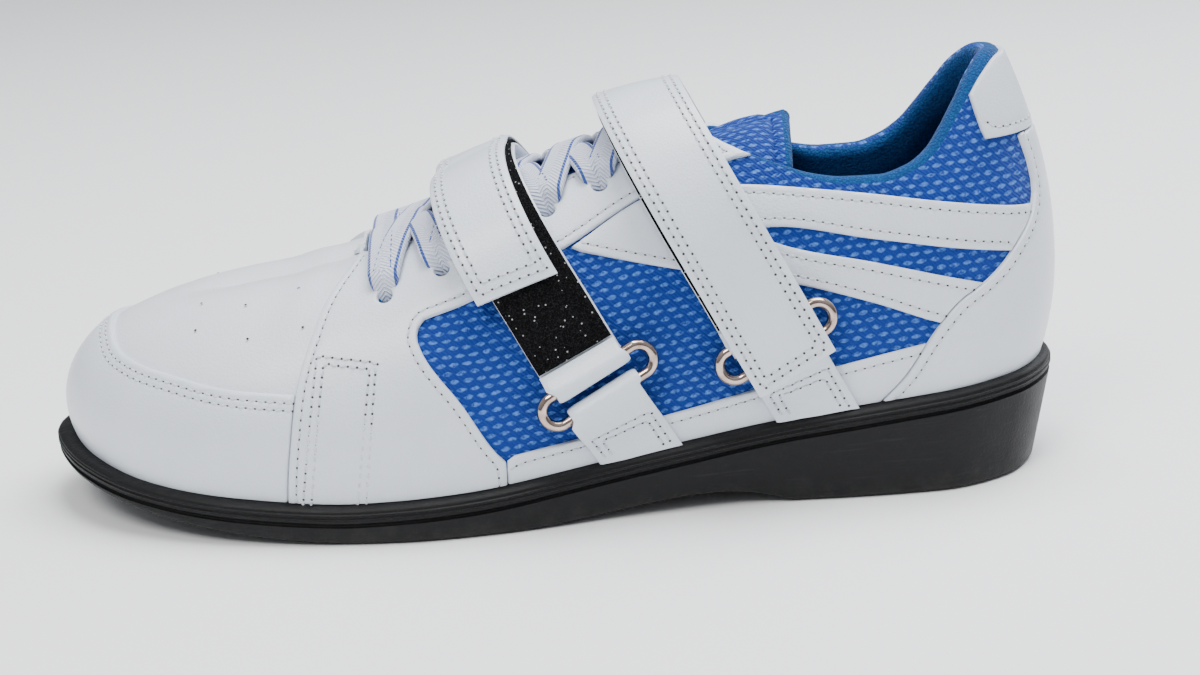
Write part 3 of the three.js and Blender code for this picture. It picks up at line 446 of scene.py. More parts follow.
def weldedIds(points):
    ids, seen = [], {}
    for point in np.round(points, 3):
        ids.append(seen.setdefault((point[0] + 0.0, point[1] + 0.0, point[2] + 0.0), len(ids)))
    return ids


def borderEdges(points, faces):
    ids = weldedIds(points)
    edges = {}
    for face in faces:
        for a, b in zip(face, face[1:] + face[:1]):
            if ids[a] != ids[b]:
                key = (min(ids[a], ids[b]), max(ids[a], ids[b]))
                edges.setdefault(key, []).append((a, b))
    return [uses[0] for uses in edges.values() if len(uses) == 1]


def distanceTo(points, starts, ends, step=0.3):
    samples = []
    for a, b in zip(starts, ends):
        count = max(1, int(np.linalg.norm(b - a) / step))
        samples += [a + (b - a) * (k / count) for k in range(count + 1)]
    tree = KDTree(len(samples))
    for index, sample in enumerate(samples):
        tree.insert(Vector(sample), index)
    tree.balance()
    return np.array([tree.find(Vector(point))[2] for point in points])


def sideField(points, closed):
    shape = np.array(closed, float)
    ends = np.roll(shape, -1, 0)
    px, pz = points[:, 0:1], points[:, 2:3]
    wayX, wayZ = (ends - shape)[:, 0], (ends - shape)[:, 1]
    share = np.clip(((px - shape[:, 0]) * wayX + (pz - shape[:, 1]) * wayZ) / (wayX ** 2 + wayZ ** 2 + 1e-12), 0, 1)
    away = np.hypot(px - shape[:, 0] - share * wayX, pz - shape[:, 1] - share * wayZ).min(1)
    crosses = (shape[:, 1] > pz) != (ends[:, 1] > pz)
    at = shape[:, 0] + (pz - shape[:, 1]) * wayX / np.where(wayZ == 0, 1e-12, wayZ)
    inside = (crosses & (px < at)).sum(1) % 2 == 1
    return np.where(inside, away, -away)


def smoothOutline(rows, sharp=32.0, pieces=8):
    points = np.array([((along - 0.5) * shoe["soleLength"], up * shoe["instepRidge"]) for along, up in rows])
    count = len(points)
    before, after = np.roll(points, 1, 0), np.roll(points, -1, 0)
    into = (points - before) / np.linalg.norm(points - before, axis=1)[:, None]
    away = (after - points) / np.linalg.norm(after - points, axis=1)[:, None]
    turn = np.degrees(np.arccos(np.clip((into * away).sum(1), -1, 1)))
    curve = []
    for k in range(count):
        p, q = points[k], points[(k + 1) % count]
        gap = np.linalg.norm(q - p)
        startWay = away[k] if turn[k] > sharp else (into[k] + away[k]) / 2
        nextK = (k + 1) % count
        endWay = into[nextK] if turn[nextK] > sharp else (into[nextK] + away[nextK]) / 2
        for step in range(pieces):
            t = step / pieces
            curve.append(p * (2 * t ** 3 - 3 * t * t + 1) + startWay * gap * (t ** 3 - 2 * t * t + t)
                         + q * (3 * t * t - 2 * t ** 3) + endWay * gap * (t ** 3 - t * t))
    return curve


def throatField(points, front, back, frontWidth, backWidth, corner=6.0):
    x, y = points[:, 0], points[:, 1]
    share = np.clip((x - shoe["ridgeFront"]) / (shoe["ridgeBack"] - shoe["ridgeFront"]), 0, 1)
    shift = follow(ridgeRows, "shift", share) * shoe["ballWidth"] / 2
    half = mix(frontWidth, backWidth, np.clip((x - front) / (back - front), 0, 1)) / 2
    middle, reach = (front + back) / 2, (back - front) / 2
    dx, dy = np.abs(x - middle) - reach + corner, np.abs(y - shift) - half + corner
    return np.hypot(np.maximum(dx, 0), np.maximum(dy, 0)) + np.minimum(np.maximum(dx, dy), 0) - corner


def makePiece(name, points, faces, material, uv=None, smooth=40.0):
    mesh = bpy.data.meshes.new(name)
    mesh.from_pydata((np.asarray(points) * millimetre).tolist(), [], faces)
    mesh.update()
    if uv is not None:
        layer = mesh.uv_layers.new(name="surface")
        corner = np.zeros(len(mesh.loops), int)
        mesh.loops.foreach_get("vertex_index", corner)
        layer.data.foreach_set("uv", (np.asarray(uv)[corner] * millimetre).ravel())
    piece = bpy.data.objects.new(name, mesh)
    bpy.context.collection.objects.link(piece)
    finishPiece(piece, material, smooth)
    return piece


def finishPiece(piece, material, smooth=40.0, weld=2e-6):
    bpy.ops.object.select_all(action="DESELECT")
    piece.select_set(True)
    bpy.context.view_layer.objects.active = piece
    bpy.ops.object.mode_set(mode="EDIT")
    bpy.ops.mesh.select_all(action="SELECT")
    bpy.ops.mesh.remove_doubles(threshold=weld)
    bpy.ops.object.mode_set(mode="OBJECT")
    bpy.ops.object.shade_smooth_by_angle(angle=math.radians(smooth))
    for one in material if isinstance(material, list) else [material]:
        piece.data.materials.append(one)
    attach(piece, "root")
    return piece


# stitches, with a dark disc of painted shade at each needle hole
stitch = {
    "length": 1.75, "gap": 0.85, "radius": 0.33, "sides": 6, "hole": 0.4,
    "flatten": 1.15, "crown": 0.12, "endDip": 0.25, "tilt": 0.12,       # how it sits in the leather
}
stitchRows = []     # lists of (point, normal) along each seam, in millimetres


def chain(segments):
    nextOf, lines = {}, []
    for a, b in segments:
        nextOf.setdefault(a, []).append(b)
        nextOf.setdefault(b, []).append(a)
    left = {key: set(value) for key, value in nextOf.items()}
    while any(left.values()):
        ends = [key for key in left if len(left[key]) == 1] or [key for key in left if left[key]]
        line = [ends[0]]
        while left[line[-1]]:
            here = line[-1]
            there = left[here].pop()
            left[there].discard(here)
            line.append(there)
        lines.append(line)
    return lines


def addStitches(name, rows, threadMaterial, holeMaterial):
    points, faces, holes, holeFaces = [], [], [], []
    profile = [(-0.5, 0.35), (-0.36, 0.9), (0, 1.08), (0.36, 0.9), (0.5, 0.35)]
    for line, normals in rows:
        line, normals = np.asarray(line), np.asarray(normals)
        reach = np.concatenate([[0], np.cumsum(np.linalg.norm(np.diff(line, axis=0), axis=1))])
        pitch = stitch["length"] + stitch["gap"]
        count = int(reach[-1] / pitch)
        if count < 1:
            continue
        pitch = reach[-1] / count
        for k in range(count):
            ends = [k * pitch + stitch["gap"] / 2, (k + 1) * pitch - stitch["gap"] / 2]
            a, b = [np.array([np.interp(s, reach, line[:, axis]) for axis in range(3)]) for s in ends]
            up = np.array([np.interp(sum(ends) / 2, reach, normals[:, axis]) for axis in range(3)])
            up /= np.linalg.norm(up)
            way = b - a
            length = np.linalg.norm(way)
            if length < 0.3:
                continue
            way /= length
            side = np.cross(way, up)
            tilt = stitch["tilt"] * (1 if k % 2 else -1)
            start = len(points)
            for along, size in profile:
                rise = stitch["crown"] - stitch["endDip"] * (2 * along) ** 4
                centre = (a + b) / 2 + way * along * length + up * rise + side * tilt * along * 2
                for corner in range(stitch["sides"]):
                    angle = 2 * math.pi * corner / stitch["sides"]
                    around = side * math.cos(angle) * stitch["flatten"] + up * math.sin(angle)
                    points.append(centre + around * stitch["radius"] * size)
            sides = stitch["sides"]
            for ring in range(len(profile) - 1):
                for corner in range(sides):
                    other = (corner + 1) % sides
                    faces.append([start + ring * sides + corner, start + ring * sides + other,
                                  start + (ring + 1) * sides + other, start + (ring + 1) * sides + corner])
            faces.append([start + corner for corner in reversed(range(sides))])
            faces.append([start + (len(profile) - 1) * sides + corner for corner in range(sides)])
            # painted shade: a dark disc just above the leather at each needle hole stands in for the shade inside the
            # hole
            centre = b + way * stitch["gap"] * 0.5 + up * 0.05
            start = len(holes)
            for corner in range(6):
                angle = 2 * math.pi * corner / 6
                holes.append(centre + (way * math.cos(angle) + side * math.sin(angle)) * stitch["hole"])
            holes.append(centre + up * 0.05)
            holeFaces += [[start + corner, start + (corner + 1) % 6, start + 6] for corner in range(6)]
    thread = makePiece(name, points, faces, threadMaterial)
    holeShades = makePiece(name + "Holes", holes, holeFaces, holeMaterial)
    return thread, holeShades


# shared shader groups
def newGroup(name, inputs, outputs):
    tree = bpy.data.node_groups.new(name, "ShaderNodeTree")
    for label, kind, value in inputs:
        socket = tree.interface.new_socket(name=label, in_out="INPUT", socket_type=kind)
        if value is not None:
            socket.default_value = value
    for label, kind in outputs:
        tree.interface.new_socket(name=label, in_out="OUTPUT", socket_type=kind)
    return tree, tree.nodes.new("NodeGroupInput"), tree.nodes.new("NodeGroupOutput")


def mathNode(tree, operation, a, b=None, c=None):
    given = {index: value for index, value in enumerate((a, b, c)) if value is not None}
    return addNode(tree, "ShaderNodeMath", given, operation=operation).outputs[0]


def mixColour(tree, factor, a, b):
    a, b = [value if isinstance(value, bpy.types.NodeSocket) else (*value, 1) for value in (a, b)]
    return addNode(tree, "ShaderNodeMix", {0: factor, 6: a, 7: b}, data_type="RGBA").outputs[2]


def ramp(tree, value, low, high):
    given = {"Value": value, "From Min": low, "From Max": high}
    return addNode(tree, "ShaderNodeMapRange", given, interpolation_type="SMOOTHSTEP").outputs["Result"]


def makeGrainGroup():
    tree, given, out = newGroup("leatherGrain", [
        ("Vector", "NodeSocketVector", None), ("Pebble Scale", "NodeSocketFloat", 900.0),
        ("Crease Scale", "NodeSocketFloat", 60.0)], [("Height", "NodeSocketFloat"), ("Blotch", "NodeSocketFloat")])
    vector = given.outputs["Vector"]
    cells = addNode(tree, "ShaderNodeTexVoronoi", {"Vector": vector, "Scale": given.outputs["Pebble Scale"]},
                    feature="DISTANCE_TO_EDGE")
    fine = addNode(tree, "ShaderNodeTexNoise", {
        "Vector": vector, "Scale": given.outputs["Pebble Scale"], "Detail": 4.0})
    soft = addNode(tree, "ShaderNodeTexNoise", {
        "Vector": vector, "Scale": given.outputs["Crease Scale"], "Detail": 3.0})
    pebbles = ramp(tree, cells.outputs["Distance"], 0.0, 0.25)
    height = mathNode(tree, "MULTIPLY_ADD", pebbles, 0.35, mathNode(tree, "MULTIPLY", fine.outputs["Fac"], 0.5))
    height = mathNode(tree, "MULTIPLY_ADD", soft.outputs["Fac"], 1.2, height)
    tree.links.new(height, out.inputs["Height"])
    tree.links.new(soft.outputs["Fac"], out.inputs["Blotch"])
    return tree


def makeDustGroup():
    tree, given, out = newGroup("floorDust", [
        ("Vector", "NodeSocketVector", None), ("Top", "NodeSocketFloat", 0.02), ("Reach", "NodeSocketFloat", 0.03),
        ("Scale", "NodeSocketFloat", 90.0)], [("Mask", "NodeSocketFloat")])
    split = addNode(tree, "ShaderNodeSeparateXYZ", {"Vector": given.outputs["Vector"]})
    noise = addNode(tree, "ShaderNodeTexNoise", {"Vector": given.outputs["Vector"], "Scale": given.outputs["Scale"],
                                                 "Detail": 6.0, "Roughness": 0.7})
    fall = mathNode(tree, "SUBTRACT", given.outputs["Top"], split.outputs["Z"])
    fall = mathNode(tree, "DIVIDE", fall, given.outputs["Reach"])
    total = mathNode(tree, "ADD", fall, noise.outputs["Fac"])
    tree.links.new(ramp(tree, total, 0.35, 1.1), out.inputs["Mask"])
    return tree


def makeWeaveGroup():
    tree, given, out = newGroup("lensMesh", [
        ("Vector", "NodeSocketVector", None), ("Cell Width", "NodeSocketFloat", 0.0036),
        ("Cell Height", "NodeSocketFloat", 0.0023)],
        [("Spot", "NodeSocketFloat"), ("Thread", "NodeSocketFloat"), ("Height", "NodeSocketFloat")])
    bend = addNode(tree, "ShaderNodeTexNoise", {"Vector": given.outputs["Vector"], "Scale": 260.0, "Detail": 2.0})
    shifted = addNode(tree, "ShaderNodeVectorMath", {0: bend.outputs["Color"], 1: (0.0009, 0.0009, 0.0)},
                      operation="MULTIPLY")
    moved = addNode(tree, "ShaderNodeVectorMath", {0: given.outputs["Vector"], 1: shifted.outputs[0]}, operation="ADD")
    split = addNode(tree, "ShaderNodeSeparateXYZ", {"Vector": moved.outputs[0]})
    row = mathNode(tree, "DIVIDE", split.outputs["Y"], given.outputs["Cell Height"])
    column = mathNode(tree, "DIVIDE", split.outputs["X"], given.outputs["Cell Width"])
    odd = mathNode(tree, "FLOOR", row)
    column = mathNode(tree, "MULTIPLY_ADD", odd, 0.5, column)
    a = mathNode(tree, "SUBTRACT", mathNode(tree, "FRACT", column), 0.5)
    b = mathNode(tree, "SUBTRACT", mathNode(tree, "FRACT", row), 0.5)
    wide = mathNode(tree, "POWER", mathNode(tree, "ABSOLUTE", mathNode(tree, "MULTIPLY", a, 2.5)), 1.6)
    tall = mathNode(tree, "POWER", mathNode(tree, "ABSOLUTE", mathNode(tree, "MULTIPLY", b, 3.3)), 1.7)
    away = mathNode(tree, "ADD", wide, tall)
    spot = mathNode(tree, "SUBTRACT", 1.0, ramp(tree, away, 0.45, 1.2))
    threads = addNode(tree, "ShaderNodeTexWave", {"Vector": moved.outputs[0], "Scale": 520.0, "Distortion": 1.5},
                      wave_type="BANDS", bands_direction="DIAGONAL")
    fine = threads.outputs["Fac"]
    height = mathNode(tree, "MULTIPLY_ADD", spot, -0.55, mathNode(tree, "MULTIPLY", fine, 0.25))
    tree.links.new(spot, out.inputs["Spot"])
    tree.links.new(fine, out.inputs["Thread"])
    tree.links.new(height, out.inputs["Height"])
    return tree


grainGroup, dustGroup, weaveGroup = makeGrainGroup(), makeDustGroup(), makeWeaveGroup()


def groupNode(tree, group, inputs):
    return addNode(tree, "ShaderNodeGroup", inputs, node_tree=group)


def bumpFrom(tree, shader, height, distance, strength=1.0):
    bump = addNode(tree, "ShaderNodeBump", {"Height": height, "Strength": strength, "Distance": distance})
    tree.links.new(bump.outputs["Normal"], shader.inputs["Normal"])


def objectCoords(tree):
    return addNode(tree, "ShaderNodeTexCoord").outputs["Object"]


def surfaceCoords(tree):
    return addNode(tree, "ShaderNodeUVMap", uv_map="surface").outputs["UV"]


def leatherMaterial(name, colour, roughness, dusty=0.35, pebble=900.0, depth=0.00012):
    material, tree, shader = newMaterial(name, colour, roughness, **{"Coat Weight": 0.32, "Coat Roughness": 0.2})
    coords = objectCoords(tree)
    grain = groupNode(tree, grainGroup, {"Vector": coords, "Pebble Scale": pebble, "Crease Scale": 55.0})
    dust = groupNode(tree, dustGroup, {"Vector": coords, "Top": 0.012, "Reach": 0.03, "Scale": 120.0})
    shade = tuple(channel * tone for channel, tone in zip(colour, (0.93, 0.935, 0.95)))
    toned = mixColour(tree, grain.outputs["Blotch"], shade, tuple(min(1, channel * 1.03) for channel in colour))
    dirt = mathNode(tree, "MULTIPLY", dust.outputs["Mask"], dusty)
    toned = mixColour(tree, dirt, toned, (0.42, 0.4, 0.37))
    tree.links.new(toned, shader.inputs["Base Color"])
    rough = mathNode(tree, "MULTIPLY_ADD", grain.outputs["Blotch"], 0.22, roughness - 0.1)
    tree.links.new(rough, shader.inputs["Roughness"])
    bumpFrom(tree, shader, grain.outputs["Height"], depth)
    return material


def meshMaterial(name, ground, light, width=0.0036, height=0.0023):
    material, tree, shader = newMaterial(name, ground, 0.78, **{"Sheen Weight": 0.08, "Specular IOR Level": 0.2})
    coords = surfaceCoords(tree)
    weave = groupNode(tree, weaveGroup, {"Vector": coords, "Cell Width": width, "Cell Height": height})
    noise = addNode(tree, "ShaderNodeTexNoise", {"Vector": coords, "Scale": 45.0, "Detail": 4.0})
    uneven = addNode(tree, "ShaderNodeTexNoise", {"Vector": coords, "Scale": 900.0, "Detail": 2.0})
    amount = mathNode(tree, "MULTIPLY", weave.outputs["Spot"], ramp(tree, uneven.outputs["Fac"], 0.25, 0.65))
    base = mixColour(tree, noise.outputs["Fac"], tuple(c * 0.72 for c in ground),
                     tuple(min(1, c * 1.2) for c in ground))
    base = mixColour(tree, mathNode(tree, "MULTIPLY", weave.outputs["Thread"], 0.35), base,
                     tuple(c * 0.45 for c in ground))
    tree.links.new(mixColour(tree, amount, base, light), shader.inputs["Base Color"])
    bumpFrom(tree, shader, weave.outputs["Height"], 0.0006, 0.9)
    return material


def clothMaterial(name, colour, light, scale=1500.0):
    material, tree, shader = newMaterial(name, colour, 0.9, **{"Sheen Weight": 0.1, "Specular IOR Level": 0.15})
    coords = objectCoords(tree)
    cells = addNode(tree, "ShaderNodeTexVoronoi", {"Vector": coords, "Scale": scale})
    noise = addNode(tree, "ShaderNodeTexNoise", {"Vector": coords, "Scale": 50.0, "Detail": 5.0})
    tone = mixColour(tree, ramp(tree, cells.outputs["Distance"], 0.1, 0.7), light, colour)
    tone = mixColour(tree, mathNode(tree, "MULTIPLY", noise.outputs["Fac"], 0.5), tone, tuple(c * 0.6 for c in colour))
    tree.links.new(tone, shader.inputs["Base Color"])
    bumpFrom(tree, shader, cells.outputs["Distance"], 0.0003)
    return material


def rubberMaterial(name, colour, roughness, dusty):
    material, tree, shader = newMaterial(name, colour, roughness, **{"Specular IOR Level": 0.2})
    coords = objectCoords(tree)
    fine = addNode(tree, "ShaderNodeTexNoise", {"Vector": coords, "Scale": 1400.0, "Detail": 3.0})
    wide = addNode(tree, "ShaderNodeTexNoise", {"Vector": coords, "Scale": 70.0, "Detail": 7.0, "Roughness": 0.65})
    scratch = addNode(tree, "ShaderNodeTexNoise", {"Vector": addNode(tree, "ShaderNodeMapping", {
        "Vector": coords, "Scale": (40.0, 300.0, 900.0)}).outputs[0], "Scale": 1.0, "Detail": 4.0})
    dust = groupNode(tree, dustGroup, {"Vector": coords, "Top": 0.004, "Reach": 0.02, "Scale": 150.0})
    worn = mathNode(tree, "MULTIPLY", ramp(tree, scratch.outputs["Fac"], 0.58, 0.75), 0.4)
    tone = mixColour(tree, wide.outputs["Fac"], tuple(c * 0.6 for c in colour), tuple(c * 1.9 for c in colour))
    tone = mixColour(tree, worn, tone, (0.02, 0.02, 0.022))
    tone = mixColour(tree, mathNode(tree, "MULTIPLY", dust.outputs["Mask"], dusty), tone, (0.16, 0.15, 0.14))
    tree.links.new(tone, shader.inputs["Base Color"])
    rough = mathNode(tree, "MULTIPLY_ADD", wide.outputs["Fac"], 0.35, roughness - 0.15)
    tree.links.new(rough, shader.inputs["Roughness"])
    relief = mathNode(tree, "MULTIPLY_ADD", wide.outputs["Fac"], 2.5, fine.outputs["Fac"])
    bumpFrom(tree, shader, relief, 0.00012)
    return material


def tapeMaterial():
    material, tree, shader = newMaterial("blackLoopTape", (0.003, 0.003, 0.004), 0.95,
                                         **{"Specular IOR Level": 0.08})
    coords = objectCoords(tree)
    fluff = addNode(tree, "ShaderNodeTexNoise", {"Vector": coords, "Scale": 2200.0, "Detail": 4.0, "Roughness": 0.8})
    specks = addNode(tree, "ShaderNodeTexVoronoi", {"Vector": coords, "Scale": 980.0})
    rare = addNode(tree, "ShaderNodeTexWhiteNoise", {"Vector": specks.outputs["Position"]})
    lint = mathNode(tree, "MULTIPLY", mathNode(tree, "LESS_THAN", specks.outputs["Distance"], 0.22),
                    mathNode(tree, "GREATER_THAN", rare.outputs["Value"], 0.8))
    tone = mixColour(tree, ramp(tree, fluff.outputs["Fac"], 0.45, 0.75), (0.0015, 0.0015, 0.002), (0.035, 0.035, 0.037))
    tree.links.new(mixColour(tree, lint, tone, (0.5, 0.5, 0.52)), shader.inputs["Base Color"])
    bumpFrom(tree, shader, fluff.outputs["Fac"], 0.0007)
    return material


# coloured thread near each edge of the lace, in metres from its middle
laceTracer = {"from": 0.0029, "to": 0.0037, "colour": (0.02, 0.07, 0.35)}


def laceMaterial():
    material, tree, shader = newMaterial("flatLace", (0.68, 0.72, 0.88), 0.85, **{"Sheen Weight": 0.4})
    coords = surfaceCoords(tree)
    split = addNode(tree, "ShaderNodeSeparateXYZ", {"Vector": coords})
    side = mathNode(tree, "ABSOLUTE", split.outputs["Y"])
    tracer = mathNode(tree, "MULTIPLY", mathNode(tree, "GREATER_THAN", side, laceTracer["from"]),
                      mathNode(tree, "LESS_THAN", side, laceTracer["to"]))
    rib = mathNode(tree, "SINE", mathNode(tree, "MULTIPLY", mathNode(tree, "ADD", split.outputs["X"], mathNode(
        tree, "MULTIPLY", side, 0.8)), 5200.0))
    grainy = addNode(tree, "ShaderNodeTexNoise", {"Vector": coords, "Scale": 900.0, "Detail": 3.0})
    cloth = mixColour(tree, ramp(tree, rib, -1.0, 1.0), (0.6, 0.65, 0.82), (0.84, 0.87, 0.94))
    cloth = mixColour(tree, mathNode(tree, "MULTIPLY", grainy.outputs["Fac"], 0.25), cloth, (0.35, 0.42, 0.7))
    tree.links.new(mixColour(tree, tracer, cloth, laceTracer["colour"]), shader.inputs["Base Color"])
    bumpFrom(tree, shader, rib, 0.0002)
    return material


def metalMaterial():
    material, tree, shader = newMaterial("polishedRing", (0.58, 0.46, 0.41), 0.08, **{"Metallic": 1.0})
    coords = objectCoords(tree)
    wear = addNode(tree, "ShaderNodeTexNoise", {"Vector": coords, "Scale": 260.0, "Detail": 5.0})
    tree.links.new(mixColour(tree, ramp(tree, wear.outputs["Fac"], 0.35, 0.75), (0.6, 0.47, 0.41), (0.34, 0.25, 0.21)),
                   shader.inputs["Base Color"])
    tree.links.new(mathNode(tree, "MULTIPLY_ADD", wear.outputs["Fac"], 0.16, 0.02), shader.inputs["Roughness"])
    bumpFrom(tree, shader, wear.outputs["Fac"], 0.00005)
    return material


def threadMaterial():
    material, tree, shader = newMaterial("whiteThread", (0.78, 0.8, 0.84), 0.7, **{"Sheen Weight": 0.3})
    coords = objectCoords(tree)
    twist = addNode(tree, "ShaderNodeTexNoise", {"Vector": coords, "Scale": 3000.0})
    colour = mixColour(tree, twist.outputs["Fac"], (0.45, 0.48, 0.54), (0.8, 0.83, 0.88))
    tree.links.new(colour, shader.inputs["Base Color"])
    bumpFrom(tree, shader, twist.outputs["Fac"], 0.0002)
    return material


# painted shade: this near-black colour on the needle hole and vamp pinhole discs stands in for the shade inside those
# holes
def holeMaterial():
    material, tree, shader = newMaterial("needleHoleShade", (0.12, 0.12, 0.13), 0.9)
    noise = addNode(tree, "ShaderNodeTexNoise", {"Vector": objectCoords(tree), "Scale": 700.0})
    colour = mixColour(tree, noise.outputs["Fac"], (0.01, 0.01, 0.012), (0.1, 0.1, 0.11))
    tree.links.new(colour, shader.inputs["Base Color"])
    return material


finishes = {
    "leather": leatherMaterial("whiteLeather", (0.71, 0.755, 0.815), 0.42),
    "vamp": leatherMaterial("vampLeather", (0.72, 0.76, 0.815), 0.45, dusty=0.2),
    "strap": leatherMaterial("strapLeather", (0.71, 0.76, 0.825), 0.4, dusty=0.0),
    "mesh": meshMaterial("blueMesh", (0.004, 0.036, 0.27), (0.07, 0.2, 0.62)),
    "lining": clothMaterial("tealLining", (0.003, 0.048, 0.18), (0.01, 0.095, 0.29)),
    "insole": clothMaterial("insoleCloth", (0.01, 0.1, 0.3), (0.03, 0.18, 0.42), 900.0),
    "rubber": rubberMaterial("blackRubber", (0.0045, 0.0045, 0.005), 0.45, 0.12),
    "tape": tapeMaterial(), "lace": laceMaterial(), "metal": metalMaterial(),
    "thread": threadMaterial(), "hole": holeMaterial(),
}
print("materials ready")

# ways onto the form
def makeFormTree():
    lowest = formGrid[:, :1] - np.array([0, 0, 12.0])
    grid = np.concatenate([lowest, formGrid], 1)
    rows = grid.shape[1]
    faces = [(c * rows + r, ((c + 1) % ringSize) * rows + r, ((c + 1) % ringSize) * rows + r + 1, c * rows + r + 1)
             for c in range(ringSize) for r in range(rows - 1)]
    return BVHTree.FromPolygons([Vector(p) for p in grid.reshape(-1, 3)], faces)


formTree = makeFormTree()


def topPoint(x, y):
    def drop(px, py):
        hit = formTree.ray_cast(Vector((px, py, shoe["toeRidge"] - shoe["tongueHang"])), Vector((0, 0, 1)))[0]
        return np.array(hit)
    place = drop(x, y)
    normal = np.cross(drop(x + 2, y) - drop(x - 2, y), drop(x, y + 2) - drop(x, y - 2))
    return place, normal / np.linalg.norm(normal)


def sideHit(along, up, side):
    origin = Vector(((along - 0.5) * shoe["soleLength"], side * 200, up * shoe["instepRidge"]))
    hit, normal = formTree.ray_cast(origin, Vector((0, -side, 0)))[:2]
    normal = np.array(normal)
    return np.array(hit), normal * (1 if normal[1] * side > 0 else -1)


eyeletFacts = {"radius": 2.2, "rays": 8, "near": 6.5, "rows": [
    (0.349, 0.56), (0.404, 0.53), (0.454, 0.47), (0.506, 0.4), (0.557, 0.345), (0.606, 0.31)]}


def makeEyelets():
    found = []
    for side in (-1, 1):
        for along, outer in eyeletFacts["rows"]:
            x = (along - 0.5) * shoe["soleLength"]
            share = (x - shoe["ridgeFront"]) / (shoe["ridgeBack"] - shoe["ridgeFront"])
            shift = float(follow(ridgeRows, "shift", share)) * shoe["ballWidth"] / 2
            y = -outer * shoe["ballWidth"] / 2
            found.append(topPoint(x, y if side < 0 else 2 * shift - y))
    return found


eyelets = makeEyelets()


def openField(points):
    roll = 0.42 * wallThickness(points)
    throat = throatField(points, shoe["throatFront"], shoe["throatBack"], shoe["throatFrontWidth"],
                         shoe["throatBackWidth"])
    return np.minimum(throat - 0.9, collarAt(points[:, 0]) - roll - points[:, 2])


def cutEyelets(places, faces):
    for place, normal in eyelets:
        points = onForm(places)
        if np.linalg.norm(points - place, axis=1).min() > 3.5:
            continue
        first = np.cross(normal, (0, 1, 0))
        first /= np.linalg.norm(first)
        second = np.cross(normal, first)
        for ray in range(eyeletFacts["rays"]):
            angle = math.pi * (ray + 0.37) / eyeletFacts["rays"]
            way = first * math.cos(angle) + second * math.sin(angle)
            points = onForm(places)
            close = np.linalg.norm(points - place, axis=1) < eyeletFacts["near"]
            near = [all(close[i] for i in face) for face in faces]
            places, above, below, plain = splitSheet(places, faces, (points - place) @ way, 0, near)
            faces = above + below + plain
        for radius in (3.4, eyeletFacts["radius"]):
            points = onForm(places)
            away = points - place
            away = np.linalg.norm(away - np.outer(away @ normal, normal), axis=1)
            close = np.linalg.norm(points - place, axis=1) < eyeletFacts["near"] + 0.5
            near = [all(close[i] for i in face) for face in faces]
            places, above, below, plain = splitSheet(places, faces, away, radius, near)
            faces = above + plain + (below if radius > 3 else [])
        places, faces = tidySheet(places, faces)
    return places, faces


def closedShell(places, faces, outerGrow, innerGrow, rollSteps):
    outer = onForm(places, outerGrow)
    inner = onForm(places, innerGrow)
    base = onForm(places)
    normals = readGrid(formNormals, places)
    count = len(places)
    points = [outer, inner]
    allFaces = [list(face) for face in faces] + [[i + count for i in reversed(face)] for face in faces]
    kinds = ["outer"] * len(faces) + ["inner"] * len(faces)
    ids = weldedIds(base)
    border = borderEdges(base, faces)
    out = {}
    for a, b in border:
        way = np.cross(base[b] - base[a], normals[a] + normals[b])
        length = np.linalg.norm(way)
        if length > 1e-9 and not (places[a, 1] < 1e-6 and places[b, 1] < 1e-6):
            for i in (a, b):
                out[ids[i]] = out.get(ids[i], 0) + way / length
    rolled, total = {}, 2 * count
    rings = []
    for a, b in border:
        flat = places[a, 1] < 1e-6 and places[b, 1] < 1e-6
        for i in (a, b):
            if i not in rolled and not flat:
                way = out[ids[i]] / np.linalg.norm(out[ids[i]])
                half = (outer[i] - inner[i]) / 2
                reach = way * np.linalg.norm(half) * 0.9
                rolled[i] = [i] + [total + k for k in range(rollSteps)] + [i + count]
                for k in range(rollSteps):
                    angle = math.pi * (k + 1) / (rollSteps + 1)
                    rings.append((outer[i] + inner[i]) / 2 + half * math.cos(angle) + reach * math.sin(angle))
                total += rollSteps
    for a, b in border:
        if places[a, 1] < 1e-6 and places[b, 1] < 1e-6:
            allFaces.append([b, a, a + count, b + count])
            kinds.append("foot")
        else:
            for k in range(rollSteps + 1):
                allFaces.append([rolled[b][k], rolled[a][k], rolled[a][k + 1], rolled[b][k + 1]])
                kinds.append("roll")
    points = np.concatenate([outer, inner] + ([np.array(rings)] if rings else []))
    arc = readGrid(ribLength, places)
    uv = np.c_[base[:, 0], arc]
    extra = points[2 * count:]
    uv = np.concatenate([uv, uv] + ([np.c_[extra[:, 0], extra[:, 2]]] if rings else []))
    return points, allFaces, kinds, uv


# upper
upperFacts = {"vampBack": 0.36, "rollSteps": 7,
              "creases": [(-72, 7, -0.35), (-64, 5, 0.25), (-57, 5, -0.3)]}     # middle, half width, depth


def vampRelief(points):
    bent = points[:, 0] + 0.006 * (points[:, 1] - 4) ** 2
    relief = np.zeros(len(points))
    for middle, width, depth in upperFacts["creases"]:
        relief += depth * np.exp(-((bent - middle) / width) ** 2)
    waves = 0.18 * np.sin(points[:, 0] / 7.3 + points[:, 1] / 11)
    return relief * ease(50, 62, points[:, 2]) + waves * ease(40, 60, points[:, 2])


